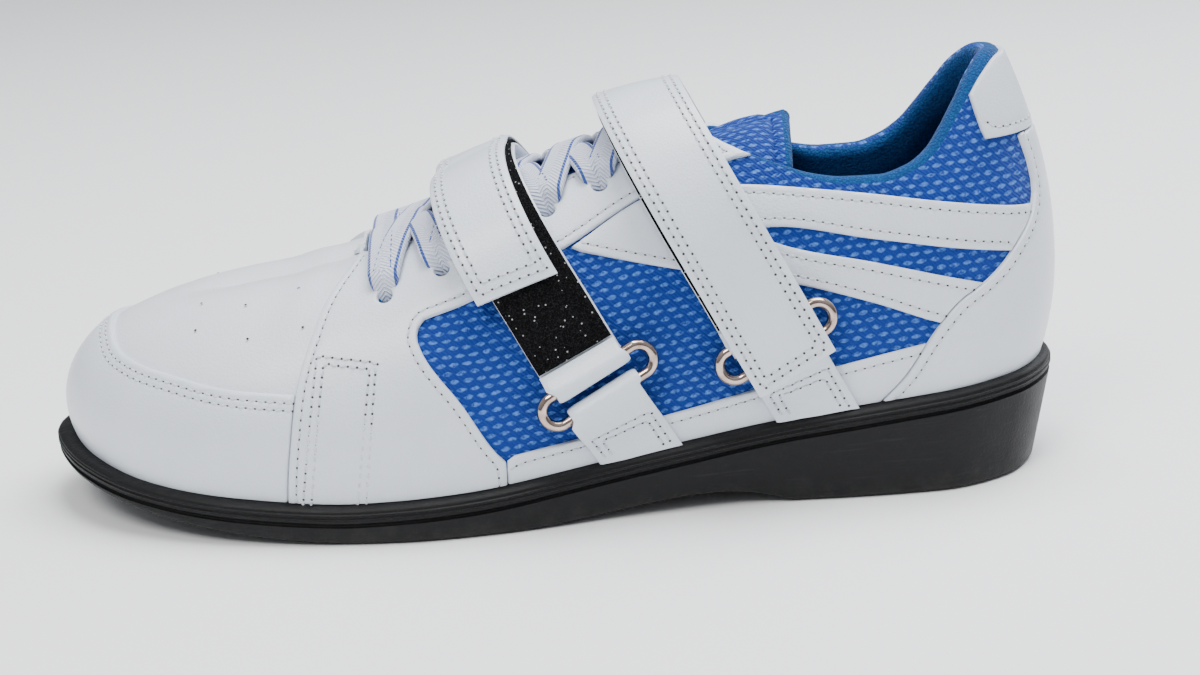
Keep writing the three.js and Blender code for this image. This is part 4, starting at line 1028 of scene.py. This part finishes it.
def makeUpper():
    places, faces = ringSheet()
    places, faces = keepWhere(places, faces, openField)
    places, faces = cutEyelets(places, faces)
    base = onForm(places)
    points, allFaces, kinds, uv = closedShell(places, faces, vampRelief(base) * (alongOf(base[:, 0]) < 0.42),
                                              -wallThickness(base), upperFacts["rollSteps"])
    piece = makePiece("upperWall", points, allFaces, [finishes["mesh"], finishes["vamp"], finishes["lining"]], uv, 50)
    for polygon, kind in zip(piece.data.polygons, kinds):
        front = polygon.center.x / millimetre / shoe["soleLength"] + 0.5 < upperFacts["vampBack"]
        polygon.material_index = 2 if kind in ("inner", "roll") else (1 if front else 0)
    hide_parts("upper")
    return piece


makeUpper()
print("upper ready")

# leather panels, as shares of length and instep height
panelFacts = {
    "height": 1.35, "skirt": 0.05, "round": 0.9, "edgeShare": 0.62,     # edgeShare of the height is left at the edge
    "stitchInset": 2.3, "trough": 0.22, "troughWidth": 0.45, "troughCut": 0.6,
    "overlap": 0.3, "plainUnder": 1.2, "plainAtEyelet": 3.2,            # no seam this near another panel or eyelet
    "wave": 0.1,
}
usualInset = (panelFacts["stitchInset"],)
panelEdges = {
    "toeGuard": [(-0.1, -0.1), (-0.1, 1.2), (0.066, 1.2), (0.067, 0.51), (0.082, 0.468), (0.098, 0.453),
                 (0.146, 0.43), (0.193, 0.408), (0.27, 0.393), (0.28, -0.1)],
    "sidePanel": [(0.34, 1.2), (0.332, 0.7), (0.294, 0.605), (0.278, 0.52), (0.266, 0.432), (0.256, 0.276),
                  (0.249, 0.111), (0.248, -0.1), (0.454, -0.1), (0.454, 0.192), (0.449, 0.206), (0.417, 0.355),
                  (0.379, 0.512), (0.378, 0.542), (0.384, 0.567), (0.433, 0.612), (0.472, 0.665), (0.472, 1.2)],
    "eyestay": [(0.473, 1.2), (0.473, 0.666), (0.522, 0.728), (0.599, 0.843), (0.653, 0.892), (0.68, 0.916),
                (0.706, 0.929), (0.713, 0.96), (0.68, 1.2)],
    "quarter": [(0.524, 0.722), (0.6, 0.838), (0.639, 0.859), (0.69, 0.858), (0.777, 0.835), (0.874, 0.798),
                (0.967, 0.757), (1.02, 0.74), (1.02, 0.61), (0.931, 0.653), (0.812, 0.707), (0.709, 0.75),
                (0.697, 0.741), (0.715, 0.713), (0.812, 0.646), (0.9, 0.583), (0.94, 0.55), (0.92, 0.45),
                (0.871, 0.476), (0.812, 0.536), (0.74, 0.597), (0.63, 0.656)],
    "rand": [(0.455, -0.1), (0.455, 0.203), (0.554, 0.243), (0.674, 0.306), (0.775, 0.37), (0.857, 0.419),
             (0.89, 0.437), (0.89, -0.1)],
    "counter": [(1.1, -0.1), (1.1, 0.942), (0.956, 0.942), (0.965, 0.867), (0.969, 0.788), (0.963, 0.729),
                (0.947, 0.665), (0.931, 0.613), (0.911, 0.569), (0.89, 0.532), (0.866, 0.454), (0.838, 0.33),
                (0.813, 0.254), (0.802, 0.217), (0.8, -0.1)],
    "heelTab": [(1.1, 0.946), (1.1, 1.3), (0.888, 1.3), (0.912, 1.02), (0.92, 0.946)],
}
panelShapes = {name: smoothOutline(rows) for name, rows in panelEdges.items()}


def cutAt(places, faces, values, level):
    grown, above, below, plain = splitSheet(places, faces, values, level)
    extra = len(grown) - len(places)
    return grown, above + below + plain, np.concatenate([values, np.full(extra, level)])


def makePanel(name, shape, side, under, node, insets=usualInset, lift=0.0, plainEdge=None):
    places, faces = ringSheet()
    if side:
        half = [(face[0] // (levels + 1) < stations) == (side < 0) for face in faces]
        faces = [face for face, wanted in zip(faces, half) if wanted]
        places, faces = tidySheet(places, faces)
    places, faces = keepWhere(places, faces, lambda points: sideField(points, panelShapes[shape]))
    for other in under:
        places, faces = keepWhere(places, faces, lambda points: -panelFacts["overlap"] - sideField(
            points, panelShapes[other]))
    places, faces = keepWhere(places, faces, openField)
    if shape in ("sidePanel", "eyestay"):
        places, faces = cutEyelets(places, faces)
    base = onForm(places)
    border = [(a, b) for a, b in borderEdges(base, faces) if max(places[a, 1], places[b, 1]) > 1e-6]
    starts, ends = base[[a for a, b in border]], base[[b for a, b in border]]
    middles = (starts + ends) / 2
    sewn = np.ones(len(border), bool)
    for other in under:
        sewn &= sideField(middles, panelShapes[other]) < -panelFacts["plainUnder"]
    for place, _ in eyelets:
        sewn &= np.linalg.norm(middles - place, axis=1) > panelFacts["plainAtEyelet"]
    if plainEdge:
        sewn &= ~plainEdge(middles)
    edge = distanceTo(base, starts, ends)
    for level in (0.3, panelFacts["round"]):
        places, faces, edge = cutAt(places, faces, edge, level)
    base = onForm(places)
    seam = distanceTo(base, starts[sewn], ends[sewn])
    for inset in insets:
        for level in (inset - panelFacts["troughCut"], inset, inset + panelFacts["troughCut"]):
            places, faces, seam = cutAt(places, faces, seam, level)
    base = onForm(places)
    edge = distanceTo(base, starts, ends)
    rounding = np.sqrt(np.clip(1 - (1 - np.clip(edge / panelFacts["round"], 0, 1)) ** 2, 0, 1))
    height = (panelFacts["height"] + lift) * mix(panelFacts["edgeShare"], 1, rounding)
    for inset in insets:
        height -= panelFacts["trough"] * np.exp(-((seam - inset) / panelFacts["troughWidth"]) ** 2)
    waves = np.sin(base[:, 0] / 9.1 + 1.3) * np.sin(base[:, 2] / 8.3 + side)
    height += panelFacts["wave"] * waves * ease(1.5, 8, edge)
    top = onForm(places, height)
    low = onForm(places, panelFacts["skirt"])
    count = len(places)
    border = borderEdges(base, faces)
    skirts = [[b, a, a + count, b + count] for a, b in border]
    closed = faces + skirts + [[i + count for i in reversed(face)] for face in faces]
    piece = makePiece(name, np.concatenate([top, low]), closed, finishes["leather"])
    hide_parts(node)
    normals = readGrid(formNormals, places)
    ids = weldedIds(base)
    for inset in insets:
        on = np.abs(seam - inset) < 1e-4
        segments, keep = set(), {}
        for face in faces:
            for a, b in zip(face, face[1:] + face[:1]):
                if on[a] and on[b] and ids[a] != ids[b]:
                    segments.add((min(ids[a], ids[b]), max(ids[a], ids[b])))
                    keep[ids[a]], keep[ids[b]] = a, b
        for line in chain(sorted(segments)):
            chosen = [keep[i] for i in line]
            if len(chosen) > 3:
                stitchRows.append((top[chosen], normals[chosen]))
    return piece


makePanel("toeGuardPanel", "toeGuard", 0, ["sidePanel"], "toe_guard", (2.3, 4.3))
makePanel("heelCounterPanel", "counter", 0, [], "heel_counter", usualInset, 0.35,
          lambda points: points[:, 2] > 0.93 * shoe["instepRidge"])
makePanel("heelTabPanel", "heelTab", 0, [], "heel_tab", (2.6,), 0.15,
          lambda points: points[:, 2] > 0.97 * shoe["instepRidge"])
for where, side in (("Outer", -1), ("Inner", 1)):
    tag = where.lower()
    makePanel("sidePanel" + where, "sidePanel", side, [], "side_panel_" + tag, usualInset, 0.3)
    makePanel("eyestay" + where, "eyestay", side, ["sidePanel"], "eyestay_" + tag, usualInset, 0.15)
    makePanel("quarterBands" + where, "quarter", side, ["eyestay", "counter"], "quarter_" + tag)
    makePanel("rand" + where, "rand", side, ["sidePanel", "counter"], "rand_" + tag)
print("panels ready")


# seams and pinholes seen from the side
seamFacts = {
    "patch": [(0.2585, 0.02), (0.284, 0.482), (0.34, 0.468), (0.318, 0.02)],
    "patchInner": [(0.2665, 0.02), (0.290, 0.464), (0.3335, 0.453), (0.310, 0.02)],
    "vampHoles": [(-96.9, -10.9), (-83.4, -18.6), (-68.5, -17.2), (-97.3, -22.5), (-82, -30.2), (-66.6, -31.1)],
    "holeRadius": 0.42, "points": 16, "height": 1.6,
}


def seamOnSide(corners, side, height):
    line, normals = [], []
    for along, up in alongCorners(corners, [seamFacts["points"]] * (len(corners) - 1)):
        place, normal = sideHit(along, up, side)
        line.append(place + normal * height)
        normals.append(normal)
    return line, normals


for side in (-1, 1):
    for key in ("patch", "patchInner"):
        stitchRows.append(seamOnSide(seamFacts[key], side, seamFacts["height"]))


# painted shade: each vamp pinhole is a dark disc laid on the leather, standing in for the shade inside the perforation
def makePinholes():
    points, faces = [], []
    for x, y in seamFacts["vampHoles"]:
        share = max(0, (x - shoe["ridgeFront"]) / (shoe["ridgeBack"] - shoe["ridgeFront"]))
        shift = float(follow(ridgeRows, "shift", share)) * shoe["ballWidth"] / 2
        for place in ((x, y), (x, 2 * shift - y)):
            centre, normal = topPoint(*place)
            side = np.cross(normal, (1, 0, 0))
            side /= np.linalg.norm(side)
            ahead = np.cross(side, normal)
            start = len(points)
            for corner in range(8):
                angle = math.pi * corner / 4
                around = side * math.cos(angle) + ahead * math.sin(angle)
                points.append(centre + normal * 0.35 + around * seamFacts["holeRadius"])
            points.append(centre + normal * 0.1)
            faces += [[start + corner, start + (corner + 1) % 8, start + 8] for corner in range(8)]
    makePiece("vampPinholes", points, faces, finishes["hole"])


makePinholes()

# sole and insole
soleFacts = {"ridgeProud": 0.3, "capSteps": 10}


def stackRings(rings, capSteps=8):
    rings = [np.asarray(ring) for ring in rings]
    points = list(np.concatenate(rings))
    faces = []
    for ring in range(len(rings) - 1):
        low, high = ring * ringSize, (ring + 1) * ringSize
        for index in range(ringSize):
            other = (index + 1) % ringSize
            faces.append([low + index, low + other, high + other, high + index])
    for ring, isTop in ((0, False), (len(rings) - 1, True)):
        rows = []
        for station in range(stations + 1):
            a, b = ring * ringSize + station, ring * ringSize + (ringSize - station) % ringSize
            row = [a]
            for step in range(1, capSteps):
                points.append(mix(points[a], points[b], step / capSteps))
                row.append(len(points) - 1)
            rows.append(row + [b])
        for first, second in zip(rows[:-1], rows[1:]):
            for step in range(capSteps):
                face = [first[step], second[step], second[step + 1], first[step + 1]]
                faces.append(face if isTop else face[::-1])
    return np.array(points), faces


def makeSole():
    s = shoe
    def wallTop(x): return featherAt(x) - s["lipRise"]
    def grooveFoot(x): return wallTop(x) - s["sideGrooveDrop"] - s["sideGrooveHeight"]
    def share(part): return lambda x: mix(bottomAt(x) + s["edgeBevel"], grooveFoot(x), part)
    def under(drop): return lambda x: wallTop(x) - drop
    drop, tall, deep, proud = s["sideGrooveDrop"], s["sideGrooveHeight"], s["sideGroove"], soleFacts["ridgeProud"]
    rings = [insetRing(s["edgeBevel"], bottomAt, 1), insetRing(0.6, lambda x: bottomAt(x) + 0.25, 1),
             insetRing(0.15, lambda x: bottomAt(x) + 0.8, 1)]
    rings += [insetRing(0, share(part), 1 - part) for part in (0, 0.2, 0.4, 0.6, 0.8, 0.94)]
    for inset, fall in [(0, drop + tall), (deep * 0.75, drop + tall * 0.8), (deep, drop + tall / 2),
                        (deep * 0.75, drop + tall * 0.2),
                        (0, drop), (0, 2.75), (-proud, 2.5), (-proud, 2.25), (0.05, 2.0), (0.05, 1.6), (-proud, 1.35),
                        (-proud, 1.1), (0.05, 0.85), (0.1, 0.35), (0.4, 0)]:
        rings.append(insetRing(inset, under(fall)))
    for part, rise in ((0.25, 0.5), (0.5, 0.78), (0.75, 0.93), (1, 1), (1.3, 1)):
        rings.append(insetRing(lambda x, part=part: lipAt(x) * part,
                               lambda x, rise=rise: wallTop(x) + s["lipRise"] * rise))
    points, faces = stackRings(rings, soleFacts["capSteps"])
    piece = makePiece("rubberSole", points, faces, finishes["rubber"], smooth=38)
    cutTread(piece)
    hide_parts("sole")


def cutTread(piece):
    s = shoe
    pitch, half = s["treadPitch"], s["soleLength"] / 2
    places = list(np.arange(s["heelBreastAt"] - s["archReach"] - pitch, pitch * 1.5 - half, -pitch))
    places += list(np.arange(s["heelBreastAt"] + pitch, half - pitch, pitch))
    cutters = []
    for x in places:
        outer = float(outlineY(alongOf(x), -1)) + s["treadMargin"]
        inner = float(outlineY(alongOf(x), 1)) - s["treadMargin"]
        slope = float(bottomAt(x + 1) - bottomAt(x - 1)) / 2
        bpy.ops.object.select_all(action="DESELECT")
        middle = Vector((x, (inner + outer) / 2, float(bottomAt(x)))) * millimetre
        bpy.ops.mesh.primitive_cube_add(size=1, location=middle, rotation=(0, -math.atan(slope), 0))
        cutter = bpy.context.object
        cutter.scale = Vector((s["treadGroove"], inner - outer, s["treadDepth"] * 2)) * millimetre
        bpy.ops.object.transform_apply(location=True, rotation=True, scale=True)
        cutters.append(cutter)
    bpy.ops.object.select_all(action="DESELECT")
    for cutter in cutters:
        cutter.select_set(True)
    bpy.context.view_layer.objects.active = cutters[0]
    bpy.ops.object.join()
    joined = bpy.context.object
    bpy.ops.object.select_all(action="DESELECT")
    piece.select_set(True)
    bpy.context.view_layer.objects.active = piece
    cut = piece.modifiers.new("treadGrooves", "BOOLEAN")
    cut.operation, cut.object, cut.solver = "DIFFERENCE", joined, "EXACT"
    bpy.ops.object.modifier_apply(modifier=cut.name)
    bpy.data.objects.remove(joined)
    bpy.ops.object.shade_smooth_by_angle(angle=math.radians(38))


def makeInsole():
    s = shoe
    def base(x): return lipAt(x) + s["wall"] + s["clearance"] + s["insoleEdge"]
    rings = []
    for more, share in ((0, 0), (0, 0.7), (0.3, 0.875), (1, 0.975), (2.5, 1)):
        rise = s["clearance"] + share * s["insoleThickness"]
        rings.append(insetRing(lambda x, more=more: base(x) + more,
                               lambda x, rise=rise: featherAt(x) + rise))
    points, faces = stackRings(rings)
    piece = makePiece("insoleBoard", points, faces, finishes["insole"])
    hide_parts("insole")


makeSole()
makeInsole()
print("sole ready")

# tongue
tongueFacts = {"crown": 1.6, "rollSteps": 5}


def tongueField(points):
    s = shoe
    plan = throatField(points, s["tongueFront"], s["tongueBack"], s["tongueFrontWidth"], s["tongueBackWidth"],
                       s["tongueCorner"])
    floor = mix(s["toeRidge"] - s["tongueHang"] / 2, s["instepRidge"] - s["tongueHang"],
                np.clip((points[:, 0] - s["tongueFront"]) / (s["tongueBack"] - s["tongueFront"]), 0, 1))
    return np.minimum(-plan - 1.5, points[:, 2] - floor)


def makeTongue():
    places, faces = ringSheet()
    places, faces = keepWhere(places, faces, tongueField)
    base = onForm(places)
    border = borderEdges(base, faces)
    edge = distanceTo(base, base[[a for a, b in border]], base[[b for a, b in border]])
    for level in (1.0, 2.4, 3.0, 3.6, 6.0):
        places, faces, edge = cutAt(places, faces, edge, level)
    base = onForm(places)
    over = -wallThickness(base) - shoe["clearance"]
    pad = ease(0, 9, edge) - 0.8 * np.exp(-((edge - 3.0) / 0.7) ** 2)
    behind = ease(42, 58, base[:, 0])
    outer = over - 0.8 * (1 - behind) + tongueFacts["crown"] * pad * behind
    inner = over - shoe["tongueThickness"] - 0.6 * pad
    points, allFaces, kinds, uv = closedShell(places, faces, outer, inner, tongueFacts["rollSteps"])
    piece = makePiece("tonguePad", points, allFaces, [finishes["mesh"], finishes["lining"]], uv, 60)
    for polygon, kind in zip(piece.data.polygons, kinds):
        polygon.material_index = 0 if kind == "outer" else 1
    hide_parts("tongue")


makeTongue()
print("tongue ready")

# straps, tapes, tabs and rings
strapFacts = {"width": 24, "thickness": 1.5, "tapeThickness": 0.8, "tapePast": 0.5, "foldLength": 4.5, "tabWidth": 21.5,
              "ringLength": 37, "ringWidth": 11.5, "wire": 3, "layerGap": 0.45, "panel": 1.2, "step": 0.035,
              "rows": (1.9, 3.9), "tabRows": (2.2, 4.2), "tabSteps": 24,
              "seamPoints": (60, 10, 60), "tabPoints": (12, 12, 12)}
strapRows = {
    "front": {"ringAlong": 0.541, "ringUp": 0.383, "lean": 29, "lift": 7.5, "drift": -3.6, "endUp": 0.625,
              "width": 22.4},
    "rear": {"ringAlong": 0.712, "ringUp": 0.46, "lean": 27.5, "lift": 9.5, "drift": 1.2, "endUp": 0.385,
             "width": 24},
}
cadThickness = 1.2
strapInner = strapFacts["panel"] + 2 * shoe["clearance"]
baseMiddle = strapInner + cadThickness / 2
tapeMiddle = strapInner + cadThickness + strapFacts["layerGap"] + strapFacts["tapeThickness"] / 2
topMiddle = tapeMiddle + strapFacts["tapeThickness"] / 2 + strapFacts["layerGap"] + cadThickness / 2
foldMiddle = baseMiddle + cadThickness + strapFacts["layerGap"]
wrapRadius = strapFacts["wire"] / 2 + shoe["clearance"] + cadThickness / 2
overBar = baseMiddle + 2 * wrapRadius
overFold = overBar + cadThickness + strapFacts["layerGap"]
halfRing = (strapFacts["ringWidth"] - strapFacts["wire"]) / 2


class StrapPlane:
    def __init__(self, row):
        lean = math.radians(row["lean"])
        self.row = row
        self.along = np.array([-math.sin(lean), 0, math.cos(lean)])
        self.across = np.array([math.cos(lean), 0, math.sin(lean)])
        self.ring = np.array([(row["ringAlong"] - 0.5) * shoe["soleLength"], 0, row["ringUp"] * shoe["instepRidge"]])
        self.middle = self.ring - self.along * strapFacts["ringWidth"] / 2

    def surface(self, turn, shift):
        out = self.along * math.sin(turn) + np.array([0, math.cos(turn), 0])
        hit = formTree.ray_cast(Vector(self.middle + self.across * shift), Vector(out))[0]
        return np.array(hit)

    def facing(self, turn, shift):
        ahead = self.surface(turn - 0.06, shift) - self.surface(turn + 0.06, shift)
        way = np.cross(self.across, ahead)
        return way / np.linalg.norm(way)


def ringPlace(plane, side):
    low, high = (math.pi * 1.15, math.pi / 2) if side < 0 else (-math.pi * 0.15, math.pi / 2)
    for _ in range(24):
        half = (low + high) / 2
        if plane.surface(half, 0) @ plane.along - plane.ring @ plane.along < 0:
            low = half
        else:
            high = half
    seat, reach = plane.surface(low, 0), strapFacts["width"] / 2
    long = plane.surface(low, reach) - plane.surface(low, -reach)
    long /= np.linalg.norm(long)
    turn = -0.12 if side < 0 else 0.12
    up = plane.surface(low + turn, 0) - plane.surface(low - turn, 0)
    out = np.cross(up, long)
    out *= (1 if out[1] * side > 0 else -1) / np.linalg.norm(out)
    up = np.cross(long, out)
    up *= 1 if up[2] > 0 else -1
    middle = seat + out * (strapInner + cadThickness + shoe["clearance"] + strapFacts["wire"] / 2)
    return {"turn": low, "long": long, "out": out, "up": up, "middle": middle}


def turnBelow(plane, side, turn, distance):
    gap = np.linalg.norm(plane.surface(turn, 0) - plane.surface(turn + 0.05, 0)) / 0.05
    return turn - side * distance / gap


acrossParts = (-0.5, -0.47, -0.4, -0.2, 0, 0.2, 0.4, 0.47, 0.5)


def wrapSteps(plane, side, bar, width, inward, count=12):
    ring, steps = ringPlace(plane, side), []
    for step in range(count + 1):
        turn = math.pi * (step if inward else count - step) / count
        away = ring["out"] * math.cos(turn) - ring["up"] * bar * math.sin(turn)
        centre = ring["middle"] + ring["up"] * bar * halfRing + away * wrapRadius
        steps.append(([centre + ring["long"] * part * width for part in acrossParts], [away] * len(acrossParts)))
    return steps


def riseAt(row, turn):
    return row["lift"] * float(ease(0.55, 1, math.sin(min(1, max(0, turn / math.pi)) * math.pi)))


def runPoint(plane, turn, place, height):
    way = plane.facing(turn, place)
    return plane.surface(turn, place) + way * (height + riseAt(plane.row, turn)), way


def runSteps(plane, fromTurn, toTurn, width, heightAt, driftAt, facingOut):
    count = max(3, int(abs(toTurn - fromTurn) / strapFacts["step"]))
    steps = []
    for index in range(count + 1):
        share = index / count
        turn = mix(fromTurn, toTurn, share)
        found = [runPoint(plane, turn, part * width + driftAt(turn), heightAt(share)) for part in acrossParts]
        steps.append(([p for p, way in found], [way if facingOut else -way for p, way in found]))
    return steps


def ribbon(name, steps, thickness, material, node):
    parts = len(acrossParts)
    shares = [0.35, 0.8, 1, 1, 1, 1, 1, 0.8, 0.35]
    points, uv, faces = [], [], []
    reach, last = 0, None
    for row, ways in steps:
        middle = row[parts // 2]
        reach += 0 if last is None else np.linalg.norm(middle - last)
        last = middle
        for face in (0.5, -0.5):
            for k in range(parts):
                points.append(row[k] + ways[k] * face * thickness * shares[k])
                uv.append((reach, np.linalg.norm(row[k] - middle) * (1 if k > parts // 2 else -1)))
    def at(step, face, k): return (step * 2 + face) * parts + k
    for step in range(len(steps) - 1):
        for k in range(parts - 1):
            faces.append([at(step, 0, k), at(step, 0, k + 1), at(step + 1, 0, k + 1), at(step + 1, 0, k)])
            faces.append([at(step, 1, k + 1), at(step, 1, k), at(step + 1, 1, k), at(step + 1, 1, k + 1)])
        faces.append([at(step, 1, 0), at(step, 0, 0), at(step + 1, 0, 0), at(step + 1, 1, 0)])
        faces.append([at(step, 0, parts - 1), at(step, 1, parts - 1),
                      at(step + 1, 1, parts - 1), at(step + 1, 0, parts - 1)])
    end = len(steps) - 1
    for k in range(parts - 1):
        faces.append([at(0, 0, k + 1), at(0, 0, k), at(0, 1, k), at(0, 1, k + 1)])
        faces.append([at(end, 0, k), at(end, 0, k + 1), at(end, 1, k + 1), at(end, 1, k)])
    piece = makePiece(name, points, faces, material, uv, 50)
    bpy.ops.object.mode_set(mode="EDIT")
    bpy.ops.mesh.select_all(action="SELECT")
    bpy.ops.mesh.normals_make_consistent(inside=False)
    bpy.ops.object.mode_set(mode="OBJECT")
    if node:
        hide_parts(node)
    return piece


def makeStrap(which, plane, still):
    row, width = plane.row, plane.row["width"]
    outerBar = turnBelow(plane, -1, ringPlace(plane, -1)["turn"], -halfRing)
    innerBar = turnBelow(plane, 1, ringPlace(plane, 1)["turn"], -halfRing)
    foldEnd = turnBelow(plane, -1, outerBar, -strapFacts["foldLength"])
    low, high = math.pi * 1.3, math.pi / 2
    for step in range(24):
        half = (low + high) / 2
        if plane.surface(half, row["drift"])[2] < row["endUp"] * shoe["instepRidge"]:
            low = half
        else:
            high = half
    freeEnd, passesRing = low, low > foldEnd

    def topHeight(share):
        after = mix(overBar, topMiddle, float(ease(0, 0.14, share)))
        after = mix(after, overFold, float(ease(0.55, 0.78, share))) if passesRing else after
        return after + 0.25 * math.sin(share * 9) * share * (1 - share)

    def drift(turn): return row["drift"] * float(ease(math.pi * 0.35, math.pi * 0.75, turn))
    def fold(share): return mix(foldMiddle, overBar, float(ease(0.15, 1, share)))
    steps = (runSteps(plane, foldEnd, outerBar, width, fold, still, True)[:-1] + wrapSteps(plane, -1, 1, width, True)
             + runSteps(plane, outerBar, innerBar, width, lambda share: baseMiddle, still, False)[1:-1]
             + wrapSteps(plane, 1, 1, width, False)
             + runSteps(plane, innerBar, freeEnd, width, topHeight, drift, True)[1:])
    ribbon(which + "Strap", steps, strapFacts["thickness"], finishes["strap"], which + "_strap")
    for inset in strapFacts["rows"]:
        edge = width / 2 - inset
        last = turnBelow(plane, -1, freeEnd, -inset)
        corners = [(innerBar + 0.25, -edge), (last, -edge), (last, edge), (innerBar + 0.25, edge)]
        line, ways = [], []
        for turn, place in alongCorners(corners, strapFacts["seamPoints"]):
            height = topHeight((turn - innerBar) / (freeEnd - innerBar)) + strapFacts["thickness"] / 2
            point, way = runPoint(plane, turn, place + drift(turn), height)
            line.append(point)
            ways.append(way)
        stitchRows.append((line, ways))
    tapeStart = turnBelow(plane, -1, outerBar, -strapFacts["foldLength"] - 2 * shoe["clearance"])
    tapeEnd = math.pi / 2 - strapFacts["tapePast"]
    steps = runSteps(plane, tapeStart, tapeEnd, width - 0.6, lambda share: tapeMiddle, still, True)
    ribbon(which + "LoopTape", steps, strapFacts["tapeThickness"], finishes["tape"], which + "_loop_tape")


def makeTab(which, plane, side, still):
    width = strapFacts["tabWidth"]
    lowerBar = turnBelow(plane, side, ringPlace(plane, side)["turn"], halfRing)
    shortEnd = turnBelow(plane, side, lowerBar, strapFacts["foldLength"] / 2)

    def soleTurn(place):
        turn = lowerBar
        while plane.surface(turn, place)[2] > featherAt(plane.surface(turn, place)[0]) + 0.2:
            turn -= side * 0.008
        return turn

    def outside(share): return mix(overBar, baseMiddle, float(ease(0, 0.8, share)))
    ends = [soleTurn(part * width) for part in acrossParts]
    downward, count = [], strapFacts["tabSteps"]
    for share in [index / count for index in range(1, count + 1)]:
        found = [runPoint(plane, mix(lowerBar, end, share), part * width, outside(share))
                 for part, end in zip(acrossParts, ends)]
        downward.append(([place for place, way in found], [way for place, way in found]))
    steps = (runSteps(plane, shortEnd, lowerBar, width, lambda share: baseMiddle, still, False)[:-1]
             + wrapSteps(plane, side, -1, width, False) + downward)
    tag = "Outer" if side < 0 else "Inner"
    name = which + "Tab" + tag
    ribbon(name, steps, strapFacts["thickness"], finishes["strap"], f"{which}_tab_{tag.lower()}")
    for inset in strapFacts["tabRows"]:
        edge, first = width / 2 - inset, 0.3 + 0.055 * inset
        corners = [(1, -edge), (first, -edge), (first, edge), (1, edge)]
        line, ways = [], []
        for share, place in alongCorners(corners, strapFacts["tabPoints"]):
            turn = mix(lowerBar, float(np.interp(place, np.array(acrossParts) * width, ends)), share)
            point, way = runPoint(plane, turn, place, outside(share) + strapFacts["thickness"] / 2)
            if point[2] > featherAt(point[0]) + 1:
                line.append(point)
                ways.append(way)
        if len(line) > 4:
            stitchRows.append((line, ways))


def makeRing(which, plane, side):
    ring = ringPlace(plane, side)
    straight = (strapFacts["ringLength"] - strapFacts["ringWidth"]) / 2
    bpy.ops.object.select_all(action="DESELECT")
    bpy.ops.mesh.primitive_torus_add(major_radius=halfRing * millimetre, major_segments=48,
                                     minor_radius=strapFacts["wire"] / 2 * millimetre, minor_segments=20)
    piece = bpy.context.object
    tag = "Outer" if side < 0 else "Inner"
    piece.name = which + "Ring" + tag
    for way in (-1, 1):
        bpy.ops.object.mode_set(mode="EDIT")
        bpy.ops.mesh.select_all(action="DESELECT")
        bpy.ops.object.mode_set(mode="OBJECT")
        for vertex in piece.data.vertices:
            vertex.select = vertex.co.x * way > 1e-6
        bpy.ops.object.mode_set(mode="EDIT")
        bpy.ops.transform.translate(value=(way * straight * millimetre, 0, 0))
        bpy.ops.object.mode_set(mode="OBJECT")
    turn = Matrix((ring["long"], ring["up"], np.cross(ring["long"], ring["up"]))).transposed()
    piece.matrix_world = Matrix.Translation(Vector(ring["middle"] * millimetre)) @ turn.to_4x4()
    bpy.ops.object.transform_apply(location=True, rotation=True, scale=True)
    finishPiece(piece, finishes["metal"], 60)
    node = f"{which}_ring_{tag.lower()}"
    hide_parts(node)


for which, row in strapRows.items():
    plane = StrapPlane(row)
    makeStrap(which, plane, lambda turn: 0)
    for side in (-1, 1):
        makeRing(which, plane, side)
        makeTab(which, plane, side, lambda turn: 0)
print("straps ready")

# lace
laceFacts = {
    "width": 8, "thickness": 2.7, "height": 3.9, "steps": 30,
    "crossing": 1.1, "crossingReach": 6,        # how far one run passes over or under the other
    "sink": 2.2, "diveFrom": -0.3, "diveTo": 4.2, "narrowest": 0.6, "narrowTo": 4.5, "bunch": 0.06,
}


def makeLace():
    pairs = len(eyeletFacts["rows"])
    runs = [(0, pairs, 0)]
    for pair in range(pairs - 1):
        runs += [(pair, pairs + pair + 1, 1), (pairs + pair, pair + 1, -1)]
    for count, (first, second, over) in enumerate(runs):
        start, end = eyelets[first][0][:2], eyelets[second][0][:2]
        way = (end - start) / np.linalg.norm(end - start)
        side = np.array([-way[1], way[0]])
        length = np.linalg.norm(end - start)
        steps = []
        for step in range(laceFacts["steps"] + 1):
            share = step / laceFacts["steps"]
            share -= laceFacts["bunch"] * math.sin(2 * math.pi * share)
            near = min(share, 1 - share) * length
            lift = float(ease(laceFacts["diveFrom"], laceFacts["diveTo"], near))
            squeeze = mix(laceFacts["narrowest"], 1, float(ease(0, laceFacts["narrowTo"], near)))
            fromMiddle = (share - 0.5) * length / laceFacts["crossingReach"]
            bump = over * laceFacts["crossing"] * math.exp(-fromMiddle ** 2)
            height = mix(-laceFacts["sink"], laceFacts["height"], lift) + bump
            centre = mix(start, end, share)
            row, ways = [], []
            for part in acrossParts:
                place = centre + side * part * laceFacts["width"] * squeeze
                point, normal = topPoint(*place)
                row.append(point + normal * height)
                ways.append(normal)
            steps.append((row, ways))
        piece = ribbon(f"laceRun{count}", steps, laceFacts["thickness"], finishes["lace"], None)
        if count == 0:
            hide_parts("lace")


makeLace()
print("lace ready")

thread, holeShades = addStitches("seamStitches", stitchRows, finishes["thread"], finishes["hole"])
print("stitches ready", len(thread.data.polygons))
